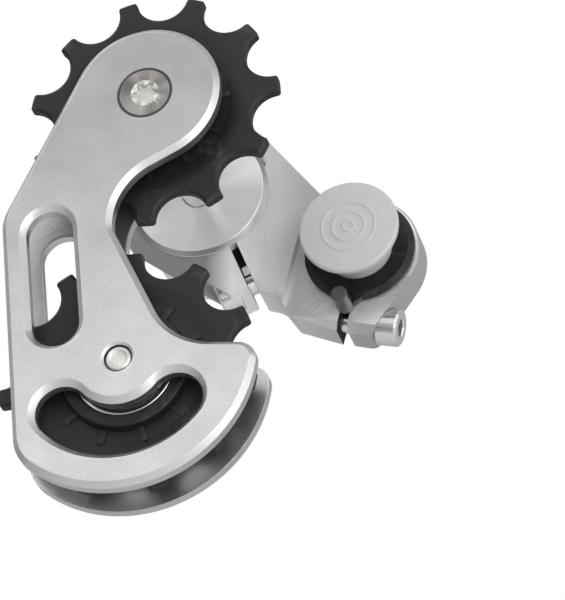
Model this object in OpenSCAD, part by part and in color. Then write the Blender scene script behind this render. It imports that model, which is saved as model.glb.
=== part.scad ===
// Two-pulley chain tensioner that hangs on a bicycle's derailleur hanger.
// X points along the arm towards the hanger, Y from the wheel side outwards, Z up, in millimetres.
// The origin lies on the hanger bolt's axis, in the plane of the collar's seat face.

/* [Layout] */
// Distance along X from the hanger axis to the cage pivot
arm_reach = 30; // [29:0.5:36]
// Height of the cage pivot above the hanger axis
arm_rise = 15.4; // [12:0.2:18]
// Distance between the two pulley axes
pulley_spacing = 52.9; // [50:0.1:60]
// Lean of the cage from straight down, in degrees
cage_lean = 5; // [0:0.5:10]
// Distance from the seat face to the wheel-side face of the cage
cage_setback = 38.4; // [36:0.1:46]

/* [Cage plates] */
// Thickness of each cage plate
plate_thick = 2.8; // [2.4:0.1:4]
// Clear width between the cage plates
cage_gap = 7.6; // [7:0.1:9]
// Radius of the plate's boss round the pivot
boss_r = 13.65; // [12:0.05:15]
// Direction of the plate's shoulder edge, in degrees
shoulder_dir = 153.1; // [150:0.1:156]
// Direction of the plate's long side edge, in degrees
side_dir = 183.9; // [182:0.1:186]
// Distance from the pivot to the plate's long side edge
side_dist = 27.9; // [27:0.1:29]
// Radius of the plate's two outer corners
corner_r = 8; // [6:0.5:9]
// Radius of the plate's tail round the lower axis
tail_r = 24.7; // [23:0.1:28]
// Radius of the finger's tip at the end of the tail
tip_r = 3.5; // [2.5:0.1:4.5]
// Direction of the finger's upper edge, in degrees
finger_dir = 82; // [80:0.5:86]
// Distance from the lower axis to the finger's upper edge
finger_height = 3.4; // [3:0.1:5]
// Direction in which the boss turns into the waist, in degrees
waist_turn = -65.4; // [-70:0.2:-60]
// Length of the straight edge between boss and waist
waist_flat = 5.2; // [3:0.1:7]
// Radius of the waist's upper hollow
waist_r = 12.04; // [10:0.02:14]
// Radius of the waist's lower hollow
waist_low_r = 4.9; // [4:0.1:7]
// Direction of the slanting edge below the waist, in degrees
slant_dir = 24.3; // [20:0.1:28]
// Radius of the hollow between the slanting edge and the finger
crook_r = 13; // [10:0.5:16]
// Width of the chamfer round the plates
plate_chamfer = 0.9; // [0.4:0.05:1.2]
// Width of the chamfer round the windows
window_chamfer = 1.05; // [0.4:0.05:1.2]
// Radius of the kidney window's middle line round the lower axis
kidney_r = 13.45; // [12.5:0.05:14]
// Half width of the kidney window
kidney_half = 4.85; // [4:0.05:5.5]
// Half angle that the kidney window spans, in degrees
kidney_span = 49; // [40:1:55]
// Half width of the long slot
slot_half = 4.3; // [3.5:0.1:4.8]
// Upper end of the long slot, from the pivot
slot_top = [-17.6, -25.8];
// Lower end of the long slot, from the pivot
slot_bottom = [-16.2, -44.2];

/* [Pulleys] */
// Number of teeth on each pulley
teeth = 11; // [9:1:13]
// Pitch of the chain
chain_pitch = 12.7; // [12.5:0.1:12.9]
// Radius of the hollow between two teeth
tooth_hollow_r = 4.88; // [4.2:0.02:5]
// Height of the tooth tips over the hollows' centres
tip_drop = -0.15; // [-0.4:0.05:0.4]
// Extra radius of the hollows' centres over the chain's pitch circle
hollow_lift = 0.95; // [0.5:0.05:1.2]
// Thickness of the pulleys at their teeth
tooth_thick = 2.2; // [1.8:0.1:2.4]
// Thickness of the web between rim and hub
web_thick = 1.2; // [0.8:0.1:1.6]
// Width of the pulley hub
hub_width = 5; // [4.8:0.1:5.6]
// Outer radius of the pulley hub
hub_r = 11.3; // [10.6:0.1:12]
// Inner radius of the pulley rim
rim_r = 17; // [16:0.1:17.6]
// Thickness of the radial ribs
rib_thick = 1; // [0.8:0.1:1.4]
// Turn of the upper pulley, in degrees
guide_phase = 12.5; // [-16:0.5:16]
// Turn of the lower pulley, in degrees
tension_phase = -2.6; // [-16:0.1:16]

/* [Bearings] */
// Outer radius of the pulley bearings
bearing_r = 9.1; // [8.8:0.1:9.5]
// Bore radius of the pulley bearings
bearing_bore_r = 5; // [4.5:0.1:5.2]
// Width of the pulley bearings
bearing_width = 4.8; // [4.4:0.1:5]
// Radial thickness of the bearing rings
race_wall = 1.2; // [1:0.05:1.3]
// Radius of the bearing balls
ball_r = 1.15; // [1:0.05:1.2]
// Number of balls in each bearing
balls = 11; // [8:1:12]
// Thickness of the bearing seals
seal_thick = 0.3; // [0.2:0.05:0.5]
// Depth of the seals below the rings' faces
seal_inset = 0.2; // [0.1:0.05:0.4]

/* [Cage fasteners] */
// Thread radius of the cage's two screws
cage_screw_r = 2.5; // [2:0.5:2.5]
// Head radius of the cage's two countersunk screws
cage_head_r = 4.69; // [4.4:0.01:5]
// Radius of the screws' six-lobe recess
recess_r = 2.25; // [1.8:0.05:2.4]
// Depth of the screws' recess
recess_depth = 1.6; // [1:0.1:1.8]
// Depth of the lower bolt's end below the plate's face
bolt_end_drop = 0.35; // [0.2:0.05:0.8]
// Radius of the countersink round the lower bolt's end
bolt_mouth_r = 2.85; // [2.7:0.05:3.2]
// Radius of the spacer bushes' flanges
spacer_flange_r = 5.9; // [5.5:0.1:6]

/* [Cage pivot] */
// Radius of the cage pivot shaft
shaft_r = 3; // [3:0.1:4.5]
// Radius of the shaft's spigot in the far plate
spigot_r = 5; // [4:0.1:6]
// Radius of the shaft's flange on the far plate
shaft_flange_r = 6; // [5.6:0.1:7]
// Thickness of the shaft's flange, which holds the end of the screw's thread
shaft_flange = 5.6; // [5:0.1:7]
// Depth of the screw's thread in the shaft, past the far plate
shaft_thread = 5; // [4:0.1:5]
// Outer radius of the spring housing
housing_r = 13.2; // [12.8:0.1:14]
// Length of the spring housing
housing_len = 19; // [18:0.5:26]
// Height of the housing's front over the arm's front
housing_proud = 1; // [0.5:0.1:2]
// Wall of the spring housing
housing_wall = 1.8; // [1.2:0.1:2.4]
// Thickness of the housing's front wall
housing_front_wall = 3.5; // [3:0.1:4.5]
// Rounding of the housing's edges
housing_round = 0.8; // [0.3:0.1:1.2]
// Outer radius of the pivot bushes
bush_r = 5.5; // [5:0.1:6]
// Thickness of the rear cap's bearing wall
cap_wall = 2.5; // [2.2:0.1:3.5]
// Height of the rear cap behind the housing's edge
cap_lip = 0.5; // [0.3:0.1:0.8]
// Depth of the pocket in the rear cap
cap_pocket = 3.5; // [3.3:0.1:4.5]
// Radius of the pocket in the rear cap
cap_pocket_r = 7.5; // [7:0.1:9]
// Thickness of the end plug
plug_thick = 1; // [0.8:0.1:1.2]
// Radius of the spring's wire
wire_r = 0.9; // [0.6:0.05:1]
// Middle radius of the spring's coils
coil_r = 7.6; // [6.8:0.1:8]
// Number of turns of the spring
coil_turns = 4.5; // [3:0.5:4.5]
// Thickness of the thrust washer
washer_thick = 0.6; // [0.4:0.1:0.8]
// Outer radius of the thrust washer
washer_r = 5.6; // [5.2:0.1:6.5]
// Thickness of the circlips
clip_thick = 0.8; // [0.6:0.1:0.9]
// Depth of the circlips' grooves
groove_depth = 0.5; // [0.3:0.05:0.6]

/* [Arm] */
// Thickness of the arm
arm_thick = 9; // [8.5:0.5:12]
// Wall of the clamp ring round the spring housing
cage_ring_wall = 3.2; // [2.8:0.1:4.2]
// Direction of the flat on the cage clamp ring, in degrees
flat_dir = 232.2; // [228:0.5:236]
// Wall left between the housing and the flat on its clamp ring
flat_wall = 0.75; // [0.7:0.05:1.8]
// Direction of the cage clamp's slit, in degrees
cage_slit_dir = -69; // [-74:1:-66]
// Sideways shift of the cage clamp's slit
cage_slit_shift = 1.76; // [1:0.02:2.4]
// Width of the cage clamp's slit
cage_slit = 1.5; // [1:0.1:2]
// Length of the cage clamp's left jaw past the housing
left_jaw_len = 9.55; // [9.3:0.05:11]
// Length of the cage clamp's right jaw past the housing
right_jaw_len = 10.8; // [10.3:0.1:12]
// Depth of the arm's upper edge inside the clamp ring's circle
edge_inset = 0.05; // [0.02:0.01:0.2]
// Direction of the arm's upper edge, in degrees
arm_edge_dir = 37.4; // [35:0.2:40]
// Place of the arm's lower bend, past the housing and across the cage clamp's slit
bend_place = [13.1, 5.1];
// Radius of the arm's lower bend
bend_r = 4; // [2:0.5:5]
// Place of the arm's heel, along and across the hanger clamp's slit
heel_place = [14.5, -9.7];
// Outer radius of the clamp ring round the collar
hanger_ring_r = 11.1; // [10.9:0.1:12.4]
// Chamfer round the hanger clamp ring
ring_chamfer = 0.3; // [0.2:0.1:1]
// Direction of the hanger clamp's slit, in degrees
hanger_slit_dir = -104.5; // [-108:0.5:-100]
// Width of the hanger clamp's slit
hanger_slit = 1.9; // [1.4:0.1:2.2]
// Length of the hanger clamp's ears, from the hanger axis
ear_len = 16.1; // [16:0.1:18]
// Direction of the right ear's side, from the slit, in degrees
ear_side_dir = 69; // [66:0.2:75]
// Radius of the right ear's corner
ear_corner_r = 2; // [1:0.25:2.5]
// Chamfer along the foot of the hanger clamp
foot_chamfer = 1.6; // [0.5:0.1:2.5]
// Radius of the right jaw's corner
jaw_r = 0.6; // [0.2:0.1:1]
// Radius of the arm's heel
heel_r = 1; // [0.4:0.1:2]
// Radius of the corners where the hanger clamp's slit opens
mouth_r = 0.4; // [0.2:0.1:0.6]
// Height of the arm's ridge over the face round the collar
pocket_depth = 2; // [1.5:0.1:2.4]
// Distance from the hanger axis to the arm's ridge
ridge_dist = 11.9; // [11.7:0.1:13]
// Distance from the hanger axis to the pocket's upper end, along the slit
pocket_reach = 6.5; // [5:0.5:8]
// Space between the collar's flange and the pocket's wall
pocket_space = 1.2; // [0.8:0.1:1.6]
// Radius of the hollows milled in the arm's pocket
mill_r = 2.5; // [1.5:0.25:3]

/* [Clamp bolts] */
// Thread radius of the clamp bolts
clamp_bolt_r = 2; // [1.5:0.5:2]
// Head radius of the clamp bolts
clamp_head_r = 3.5; // [3:0.1:3.6]
// Head length of the clamp bolts
clamp_head_len = 4; // [3:0.1:4]
// Width across flats of the clamp bolts' sockets
clamp_socket = 3; // [2.5:0.5:3]
// Distance of the cage clamp bolt past the housing, along the slit
cage_bolt_out = 6.8; // [6:0.1:7.4]
// Depth of the cage clamp bolt's seat, across the slit
cage_bolt_seat = -0.9; // [-1:0.05:-0.6]
// Thread length of the cage clamp bolt
cage_bolt_len = 12; // [9:0.5:13]
// Distance of the hanger clamp bolt from the hanger axis, along the slit
hanger_bolt_along = 12.9; // [12.8:0.05:13.4]
// Height of the hanger clamp bolt's seat, across the slit
hanger_bolt_seat = 6.05; // [5.5:0.05:6.8]
// Depth of the hanger clamp bolt behind the seat face
hanger_bolt_depth = 5.35; // [5.3:0.05:5.8]
// Thread length of the hanger clamp bolt
hanger_clamp_len = 10; // [8:0.5:12]

/* [Hanger end] */
// Outer radius of the collar
collar_r = 9.45; // [9.2:0.05:9.6]
// Radius of the collar's front flange
flange_r = 10.4; // [10:0.1:10.8]
// Thickness of the collar's front flange
flange_thick = 1.3; // [1.1:0.05:1.4]
// Chamfer round the flange's front
flange_chamfer = 0.95; // [0.4:0.05:1]
// Height of the arm's ridge over the collar's seat face
ridge_proud = 0.4; // [0.1:0.05:0.6]
// Distance from the hanger axis to the stop pin
pin_dist = 11.7; // [11.4:0.1:12.4]
// Radius of the stop pin
pin_r = 1.5; // [1.2:0.05:1.6]
// Height of the stop pin over the seat face
pin_proud = 4.4; // [2:0.1:5]
// Depth of the tongue's face below the seat face
tongue_drop = 0.2; // [0.1:0.05:0.4]
// Direction in which the tongue leaves the flange, from the slit, in degrees
tongue_turn = -40; // [-50:1:-30]
// Length of the tongue's straight side
tongue_side = 6.2; // [5:0.1:7]
// The tongue's toe, along and across the slit
tongue_toe = [11.4, 1.55];
// The tongue's neck, along and across the slit
tongue_neck = [9.6, 3.15];
// Where the tongue meets the flange again, along and across the slit
tongue_root = [8.2, 4.7];
// Thread radius of the hanger bolt
thread_r = 5; // [4.5:0.5:5]
// Length of thread that stands out of the seat face
thread_len = 6.8; // [5:0.1:7]
// Radius of the recess inside the seat face
seat_recess_r = 6.45; // [6.4:0.05:7]
// Depth of the recess inside the seat face
seat_recess = 1.3; // [1.2:0.05:1.5]
// Outer radius of the hanger bolt's circlip
bolt_clip_r = 6.2; // [5.8:0.1:6.3]
// Radius of the hanger bolt's head
bolt_head_r = 7.4; // [7:0.1:7.5]
// Height of the hanger bolt's head
bolt_head = 4; // [3.5:0.1:5]
// Depth of the collar's rear recess for the bolt's head
head_recess = 3; // [2.4:0.1:4]
// Width across flats of the hanger bolt's socket
hanger_socket = 5; // [4:0.5:6]

/* [Thread cap] */
// Radius of the cap's flange
cap_flange_r = 9.26; // [8.8:0.02:9.6]
// Thickness of the cap's flange
cap_flange = 1.2; // [1:0.1:1.4]
// Wall of the cap's stem
cap_stem_wall = 0.5; // [0.4:0.05:0.55]
// Space between the bolt's end and the cap
cap_space = 0.2; // [0.1:0.05:0.6]
// Height of the rings moulded on the cap
cap_ring = 0.15; // [0.1:0.05:0.3]

/* [Fits] */
// Radial clearance of parts that turn or slide
running_fit = 0.05; // [0.02:0.01:0.08]
// Radial clearance of parts that are pressed or screwed in
close_fit = 0.02; // [0.01:0.01:0.04]
// Clearance between parts stacked along an axis
stack_gap = 0.05; // [0.02:0.01:0.1]
// Radial clearance of a bolt in a plain hole
bolt_fit = 0.1; // [0.05:0.05:0.2]

/* [Hidden] */
$fn = 64;
arc_step = 8;
same_point = 0.001;
over = 0.5;

// Depths along Y
near_front = -cage_setback;
near_back = near_front + plate_thick;
far_front = near_back + cage_gap;
far_back = far_front + plate_thick;
pulley_mid = (near_back + far_front) / 2;
arm_front = -ridge_proud;
arm_back = arm_front + arm_thick;
arm_mid = (arm_front + arm_back) / 2;
hanger_face = arm_front + pocket_depth;
housing_front = arm_front - housing_proud;
housing_back = housing_front + housing_len;
collar_back = arm_back;
bolt_clip_front = seat_recess - clip_thick - stack_gap;
cap_back = housing_back + cap_lip;
pocket_floor = cap_back - cap_pocket;
wall_front = pocket_floor - cap_wall;
clip_front = pocket_floor + washer_thick + 2 * stack_gap;
shaft_end = clip_front + clip_thick + stack_gap + groove_depth;

// Axes, as X and Z
pivot = [-arm_reach, arm_rise];
lower = pivot + pulley_spacing * [-sin(cage_lean), -cos(cage_lean)];

// Pulley rim, from the chain's pitch circle
pitch_r = chain_pitch / 2 / sin(180 / teeth);
hollow_centre_r = pitch_r + hollow_lift;
tip_circle_r = hollow_centre_r + tip_drop;
ball_circle_r = (bearing_r + bearing_bore_r) / 2;

// Directions and lines in the plane of the cage
function dir(angle) = [cos(angle), sin(angle)];
function side(angle) = [-sin(angle), cos(angle)];

// The point that lies at the given distances along two directions
function meet(a1, d1, a2, d2) =
    let (turn = sin(a2 - a1))
        [(d1 * sin(a2) - d2 * sin(a1)) / turn, (d2 * cos(a1) - d1 * cos(a2)) / turn];

// The centre of a circle that touches an edge from inside and a big circle from inside
function nested(centre, reach, angle, depth, way) =
    centre + depth * dir(angle) + way * sqrt(reach * reach - depth * depth) * side(angle);

function bearing_of(v) = atan2(v.y, v.x);
function above(angle, floor_angle) = angle < floor_angle ? above(angle + 360, floor_angle) : angle;

// Outline of a chain of arcs [centre, radius, first angle, last angle]; a negative radius is a hollow
function arc_points(arcs, inset) = [
    for (arc = arcs)
        let (steps = max(2, ceil(abs(arc[3] - arc[2]) / arc_step)))
            for (k = [0 : steps])
                arc[0] + (arc[1] - inset) * dir(arc[2] + (arc[3] - arc[2]) * k / steps)
];

// Where one arc runs straight into the next, their shared point is kept once
function arc_chain(arcs, inset) =
    let (points = arc_points(arcs, inset), count = len(points))
        [for (k = [0 : count - 1]) if (norm(points[k] - points[(k + 1) % count]) > same_point) points[k]];

function unit(v) = v / norm(v);

// Outline of a polygon whose corners are [x, y, radius]
function rounded(corners) = [
    for (k = [0 : len(corners) - 1])
        let (
            count = len(corners),
            before = corners[(k + count - 1) % count],
            after = corners[(k + 1) % count],
            r = corners[k][2],
            p = [corners[k].x, corners[k].y],
            a = unit([before.x, before.y] - p),
            b = unit([after.x, after.y] - p),
            half = acos(a * b) / 2,
            centre = p + unit(a + b) * r / sin(half),
            first = bearing_of(p + a * r / tan(half) - centre),
            turn = bearing_of(p + b * r / tan(half) - centre) - first,
            sweep = turn > 180 ? turn - 360 : turn < -180 ? turn + 360 : turn,
            steps = r > 0 ? max(1, ceil(abs(sweep) / arc_step)) : 0
        )
            for (m = [0 : steps])
                r > 0 ? centre + r * dir(first + sweep * m / steps) : p
];

// Cage plate's outline
finger_dist = dir(finger_dir) * lower + finger_height - dir(finger_dir) * pivot;
low = lower - pivot;
top_corner = meet(shoulder_dir, boss_r - corner_r, side_dir, side_dist - corner_r);
side_depth = side_dist - corner_r - dir(side_dir) * low;
bottom_corner = nested(low, tail_r - corner_r, side_dir, side_depth, 1);
finger_tip = nested(low, tail_r - tip_r, finger_dir, finger_height - tip_r, -1);
waist = (boss_r + waist_r) * dir(waist_turn) - waist_flat * side(waist_turn);
waist_low = waist - [waist_r - waist_low_r, 0];
slant_dist = dir(slant_dir) * waist_low - waist_low_r;
crook = meet(slant_dir, slant_dist + crook_r, finger_dir, finger_dist + crook_r);
tail_start = above(bearing_of(bottom_corner - low), side_dir);
tail_end = above(bearing_of(finger_tip - low), tail_start);
plate_arcs = [
    [[0, 0], boss_r, waist_turn, shoulder_dir],
    [top_corner, corner_r, shoulder_dir, side_dir],
    [bottom_corner, corner_r, side_dir, tail_start],
    [low, tail_r, tail_start, tail_end],
    [finger_tip, tip_r, tail_end, finger_dir + 360],
    [crook, -crook_r, finger_dir, slant_dir],
    [waist_low, -waist_low_r, slant_dir, 0],
    [waist, -waist_r, 0, waist_turn]
];

kidney_left = -90 - kidney_span;
kidney_right = -90 + kidney_span;
kidney_arcs = [
    [low, kidney_r + kidney_half, kidney_left, kidney_right],
    [low + kidney_r * dir(kidney_right), kidney_half, kidney_right, kidney_right + 180],
    [low, kidney_half - kidney_r, kidney_right + 180, kidney_left + 180],
    [low + kidney_r * dir(kidney_left), kidney_half, kidney_left + 180, kidney_left + 360]
];

slot_dir = bearing_of(slot_top - slot_bottom);
slot_arcs = [
    [slot_top, slot_half, slot_dir - 90, slot_dir + 90],
    [slot_bottom, slot_half, slot_dir + 90, slot_dir + 270]
];

// Placing: a flat outline extruded along Y, a profile [radius, y] turned about Y, and a place in X and Z
module slab(front, thick) {
    translate([0, front + thick, 0]) rotate([90, 0, 0]) linear_extrude(thick) children();
}

module turned() {
    rotate([-90, 0, 0]) rotate_extrude() children();
}

module at(place) {
    translate([place.x, 0, place.y]) children();
}

module rod(front, thick, r) {
    slab(front, thick) circle(r);
}

module tube(front, thick, outer, inner) {
    slab(front, thick) difference() {
        circle(outer);
        circle(inner);
    }
}

// A cone along Y that opens from r_front to r_back
module taper(front, thick, r_front, r_back) {
    turned() polygon([[0, front], [r_front, front], [r_back, front + thick], [0, front + thick]]);
}

// A closed hoop that follows an outline; its section's corners are [y, inset]
module hoop(arcs, section) {
    count = len(arc_chain(arcs, 0));
    sides = len(section);
    points = [
        for (corner = section)
            for (p = arc_chain(arcs, corner[1]))
                [p.x, corner[0], p.y]
    ];
    faces = [
        for (i = [0 : sides - 1])
            for (k = [0 : count - 1])
                let (next = (k + 1) % count, other = (i + 1) % sides)
                    [i * count + k, i * count + next, other * count + next, other * count + k]
    ];
    polyhedron(points, faces, convexity = 6);
}

// The chamfered rim along an outline's edge, from its outer face to the face behind it;
// sense is 1 for an outer edge and -1 for a window's edge
module rim(arcs, outer_face, inner_face, width, sense) {
    way = inner_face > outer_face ? 1 : -1;
    depth = sense * (width + 2 * over);
    section = [
        [outer_face, sense * width], [outer_face + way * width, 0], [inner_face, 0],
        [inner_face, depth], [outer_face, depth]
    ];
    hoop(arcs, way * sense > 0 ? section : [for (k = [len(section) - 1 : -1 : 0]) section[k]]);
}

// Screws and rings
module six_lobe() {
    lobe_r = recess_r / 5;
    circle(recess_r - 1.1 * lobe_r);
    for (k = [0 : 5])
        rotate(60 * k) translate([recess_r - lobe_r, 0]) circle(lobe_r);
}

module hexagon(across) {
    circle(across / 2 / cos(30), $fn = 6);
}

// A countersunk screw whose head face is at `face`; way is 1 when it points along +Y
module countersunk(face, way, len) {
    head_depth = cage_head_r - cage_screw_r;
    difference() {
        union() {
            taper(way > 0 ? face : face - head_depth, head_depth,
                way > 0 ? cage_head_r : cage_screw_r, way > 0 ? cage_screw_r : cage_head_r);
            rod(way > 0 ? face : face - len, len, cage_screw_r);
        }
        slab(way > 0 ? face - over : face - recess_depth, recess_depth + over) six_lobe();
    }
}

// The hole of a countersunk screw, wider than the screw by the fit
module countersunk_hole(face, way, len) {
    head_depth = cage_head_r - cage_screw_r;
    mouth = cage_head_r + bolt_fit;
    throat = cage_screw_r + bolt_fit;
    taper(way > 0 ? face : face - head_depth, head_depth, way > 0 ? mouth : throat, way > 0 ? throat : mouth);
    rod(way > 0 ? face - over : face - len, len + over, throat);
}

// A socket-head screw along +Z with its head's seat at the origin
module cap_screw(len) {
    difference() {
        union() {
            translate([0, 0, -clamp_head_len]) cylinder(h = clamp_head_len, r = clamp_head_r);
            cylinder(h = len, r = clamp_bolt_r);
        }
        translate([0, 0, -clamp_head_len - over])
            linear_extrude(clamp_head_len / 2 + over) hexagon(clamp_socket);
    }
}

// Turns +Z to a direction in the XZ plane at a place beside a slit
module beside_slit(centre, angle, along, across, way, depth) {
    place = centre + along * dir(angle) + across * side(angle);
    heading = angle + 90 * way;
    translate([place.x, depth, place.y]) rotate([0, 90 - heading, 0]) children();
}

// Cage
// The plate without its screw holes, chamfered along the edges of its outer face
module cage_plate_body(outer_face, inner_face) {
    at(pivot) {
        slab(min(outer_face, inner_face), plate_thick) difference() {
            polygon(arc_chain(plate_arcs, plate_chamfer + over));
            polygon(arc_chain(kidney_arcs, -window_chamfer - over));
            polygon(arc_chain(slot_arcs, -window_chamfer - over));
        }
        rim(plate_arcs, outer_face, inner_face, plate_chamfer, 1);
        rim(kidney_arcs, outer_face, inner_face, window_chamfer, -1);
        rim(slot_arcs, outer_face, inner_face, window_chamfer, -1);
    }
}

module near_cage_plate() {
    color([0.78, 0.78, 0.78]) difference() {
        cage_plate_body(near_front, near_back);
        at(pivot) countersunk_hole(near_front, 1, plate_thick + over);
        at(lower) {
            rod(near_front - over, plate_thick + 2 * over, cage_screw_r + close_fit);
            taper(near_front, bolt_mouth_r - cage_screw_r, bolt_mouth_r, cage_screw_r);
        }
    }
}

module far_cage_plate() {
    color([0.76, 0.76, 0.77]) difference() {
        cage_plate_body(far_back, far_front);
        at(pivot) rod(far_front - over, plate_thick + 2 * over, spigot_r + close_fit);
        at(lower) countersunk_hole(far_back, -1, plate_thick + over);
    }
}

// Pulleys and their bearings, drawn round their own axis
module pulley(phase) {
    color([0.15, 0.15, 0.16]) {
        slab(pulley_mid - tooth_thick / 2, tooth_thick) difference() {
            circle(tip_circle_r);
            circle(rim_r);
            for (k = [0 : teeth - 1])
                rotate(90 + phase + (k + 0.5) * 360 / teeth) translate([hollow_centre_r, 0])
                    circle(tooth_hollow_r);
        }
        tube(pulley_mid - web_thick / 2, web_thick, rim_r + close_fit, hub_r - close_fit);
        tube(pulley_mid - hub_width / 2, hub_width, hub_r, bearing_r + close_fit);
        slab(pulley_mid - tooth_thick / 2, tooth_thick) intersection() {
            difference() {
                circle(rim_r + close_fit);
                circle(hub_r - close_fit);
            }
            for (k = [0 : teeth - 1])
                rotate(90 + phase + k * 360 / teeth) translate([0, -rib_thick / 2])
                    square([rim_r + over, rib_thick]);
        }
    }
}

module ball_groove() {
    translate([ball_circle_r, pulley_mid]) circle(ball_r + running_fit, $fn = 32);
}

module race(inner, outer) {
    front = pulley_mid - bearing_width / 2;
    color([0.62, 0.63, 0.65]) turned() difference() {
        translate([inner, front]) square([outer - inner, bearing_width]);
        ball_groove();
    }
}

module outer_race() {
    race(bearing_r - race_wall, bearing_r);
}

module inner_race() {
    race(bearing_bore_r, bearing_bore_r + race_wall);
}

module bearing_balls() {
    color([0.75, 0.76, 0.78])
        for (k = [0 : balls - 1])
            rotate([0, 360 * k / balls, 0]) translate([ball_circle_r, pulley_mid, 0]) sphere(ball_r);
}

module bearing_seals() {
    from_mid = bearing_width / 2 - seal_inset - seal_thick;
    color([0.06, 0.06, 0.06])
        for (front = [pulley_mid - from_mid - seal_thick, pulley_mid + from_mid])
            tube(front, seal_thick, bearing_r - race_wall, bearing_bore_r + race_wall + running_fit);
}

// Two flanged bushes that centre a bearing on its screw
module spacer_bushes() {
    flange = (cage_gap - bearing_width) / 2;
    bore = cage_screw_r + bolt_fit;
    color([0.7, 0.7, 0.72]) {
        tube(near_back, flange, spacer_flange_r, bore);
        tube(near_back, cage_gap / 2, bearing_bore_r - close_fit, bore);
        tube(far_front - flange, flange, spacer_flange_r, bore);
        tube(pulley_mid + stack_gap, cage_gap / 2 - stack_gap, bearing_bore_r - close_fit, bore);
    }
}

module guide_pulley_screw() {
    len = far_back + shaft_thread - near_front - over;
    color([0.45, 0.45, 0.45]) at(pivot) countersunk(near_front, 1, len);
}

module tension_pulley_bolt() {
    len = far_back - near_front - bolt_end_drop;
    color([0.6, 0.6, 0.6]) at(lower) countersunk(far_back, -1, len);
}

// Cage pivot
module cage_pivot_shaft() {
    clip_back = clip_front + clip_thick + stack_gap;
    color([0.5, 0.5, 0.52]) at(pivot) difference() {
        union() {
            rod(far_front, plate_thick, spigot_r);
            rod(far_back, shaft_flange, shaft_flange_r);
            rod(far_back, shaft_end - far_back, shaft_r);
        }
        rod(far_front - over, plate_thick + shaft_thread + over, cage_screw_r + close_fit);
        tube(clip_front - stack_gap, clip_back - clip_front + stack_gap, shaft_r + over,
            shaft_r - groove_depth);
    }
}

module pivot_thrust_washer() {
    color([0.7, 0.7, 0.7]) at(pivot)
        tube(pocket_floor + stack_gap, washer_thick, washer_r, shaft_r + running_fit);
}

// A circlip with a gap, round a groove's floor
module circlip(front, inner, outer) {
    slab(front, clip_thick) difference() {
        circle(outer);
        circle(inner);
        translate([0, -inner / 3]) square([outer + over, inner / 1.5]);
    }
}

module pivot_circlip() {
    color([0.2, 0.2, 0.2]) at(pivot)
        circlip(clip_front, shaft_r - groove_depth + close_fit, washer_r - over);
}

// The housing's outline as [radius, y], with rounded outer edges
function barrel_profile(r, front, back, edge) = rounded([
    [0, front, 0], [r, front, edge], [r, back, edge], [0, back, 0]
]);

module spring_housing() {
    cavity_r = housing_r - housing_wall;
    color([0.75, 0.75, 0.76]) at(pivot) difference() {
        turned() polygon(barrel_profile(housing_r, housing_front, housing_back, housing_round));
        rod(housing_front + housing_front_wall, housing_len, cavity_r);
        rod(housing_front + housing_front_wall - bush_depth(), housing_len, bush_r + close_fit);
        rod(housing_front - over, housing_len, shaft_r + bolt_fit);
    }
}

function bush_depth() = housing_front_wall - housing_proud;

module housing_rear_cap() {
    cavity_r = housing_r - housing_wall;
    color([0.7, 0.7, 0.71]) at(pivot) difference() {
        turned() polygon(barrel_profile(cavity_r - close_fit, wall_front, cap_back, over / 2));
        rod(wall_front - over, cap_wall + 2 * over, bush_r + close_fit);
        rod(pocket_floor, cap_pocket + over, cap_pocket_r);
    }
}

module housing_end_plug() {
    color([0.2, 0.2, 0.2]) at(pivot) rod(cap_back - plug_thick, plug_thick, cap_pocket_r - close_fit);
}

module pivot_bushes() {
    color([0.72, 0.62, 0.35]) at(pivot) {
        tube(housing_front + housing_front_wall - bush_depth(), bush_depth(), bush_r,
            shaft_r + running_fit);
        tube(wall_front, cap_wall, bush_r, shaft_r + running_fit);
    }
}

// A coil along Y, as one swept tube
module cage_return_spring() {
    around = 6;
    per_turn = 20;
    start = housing_front + housing_front_wall + wire_r + stack_gap;
    rise = wall_front - stack_gap - wire_r - start;
    rings = coil_turns * per_turn;
    points = [
        for (k = [0 : rings])
            for (m = [0 : around - 1])
                let (
                    turn = 360 * k / per_turn,
                    r = coil_r + wire_r * cos(360 * m / around),
                    y = start + rise * k / rings + wire_r * sin(360 * m / around)
                )
                    [r * cos(turn), y, r * sin(turn)]
    ];
    walls = [
        for (k = [0 : rings - 1])
            for (m = [0 : around - 1])
                let (next = (m + 1) % around)
                    [k * around + m, (k + 1) * around + m, (k + 1) * around + next, k * around + next]
    ];
    first_end = [for (m = [0 : around - 1]) m];
    last_end = [for (m = [around - 1 : -1 : 0]) rings * around + m];
    color([0.35, 0.36, 0.38]) at(pivot)
        polyhedron(points, concat([first_end], walls, [last_end]), convexity = 8);
}

// Arm outlines; each clamp's own outline runs along (x) and across (y) its slit
cage_slit_left = cage_slit_shift - cage_slit / 2;
cage_slit_right = cage_slit_shift + cage_slit / 2;
flat_turn = flat_dir - cage_slit_dir;
cage_ring_r = housing_r + cage_ring_wall;
flat_dist = housing_r + flat_wall;
left_jaw = housing_r + left_jaw_len;
right_jaw = housing_r + right_jaw_len;
cage_bolt_along = housing_r + cage_bolt_out;
flat_foot = flat_dist * dir(flat_turn);
jaw_corner = [left_jaw, (flat_dist - left_jaw * cos(flat_turn)) / sin(flat_turn)];
ear_tangent = hanger_ring_r * dir(ear_side_dir);
ear_reach = (ear_len - ear_tangent.x) / sin(ear_side_dir);
ear_corner = ear_tangent + ear_reach * [sin(ear_side_dir), -cos(ear_side_dir)];

function from_pivot(p) = pivot + p.x * dir(cage_slit_dir) + p.y * side(cage_slit_dir);
function from_hanger(p) = p.x * dir(hanger_slit_dir) + p.y * side(hanger_slit_dir);

edge_line = dir(arm_edge_dir) * pivot + cage_ring_r - edge_inset;
edge_end = edge_line * dir(arm_edge_dir)
    + sqrt(collar_r * collar_r - edge_line * edge_line) * side(arm_edge_dir);

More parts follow.
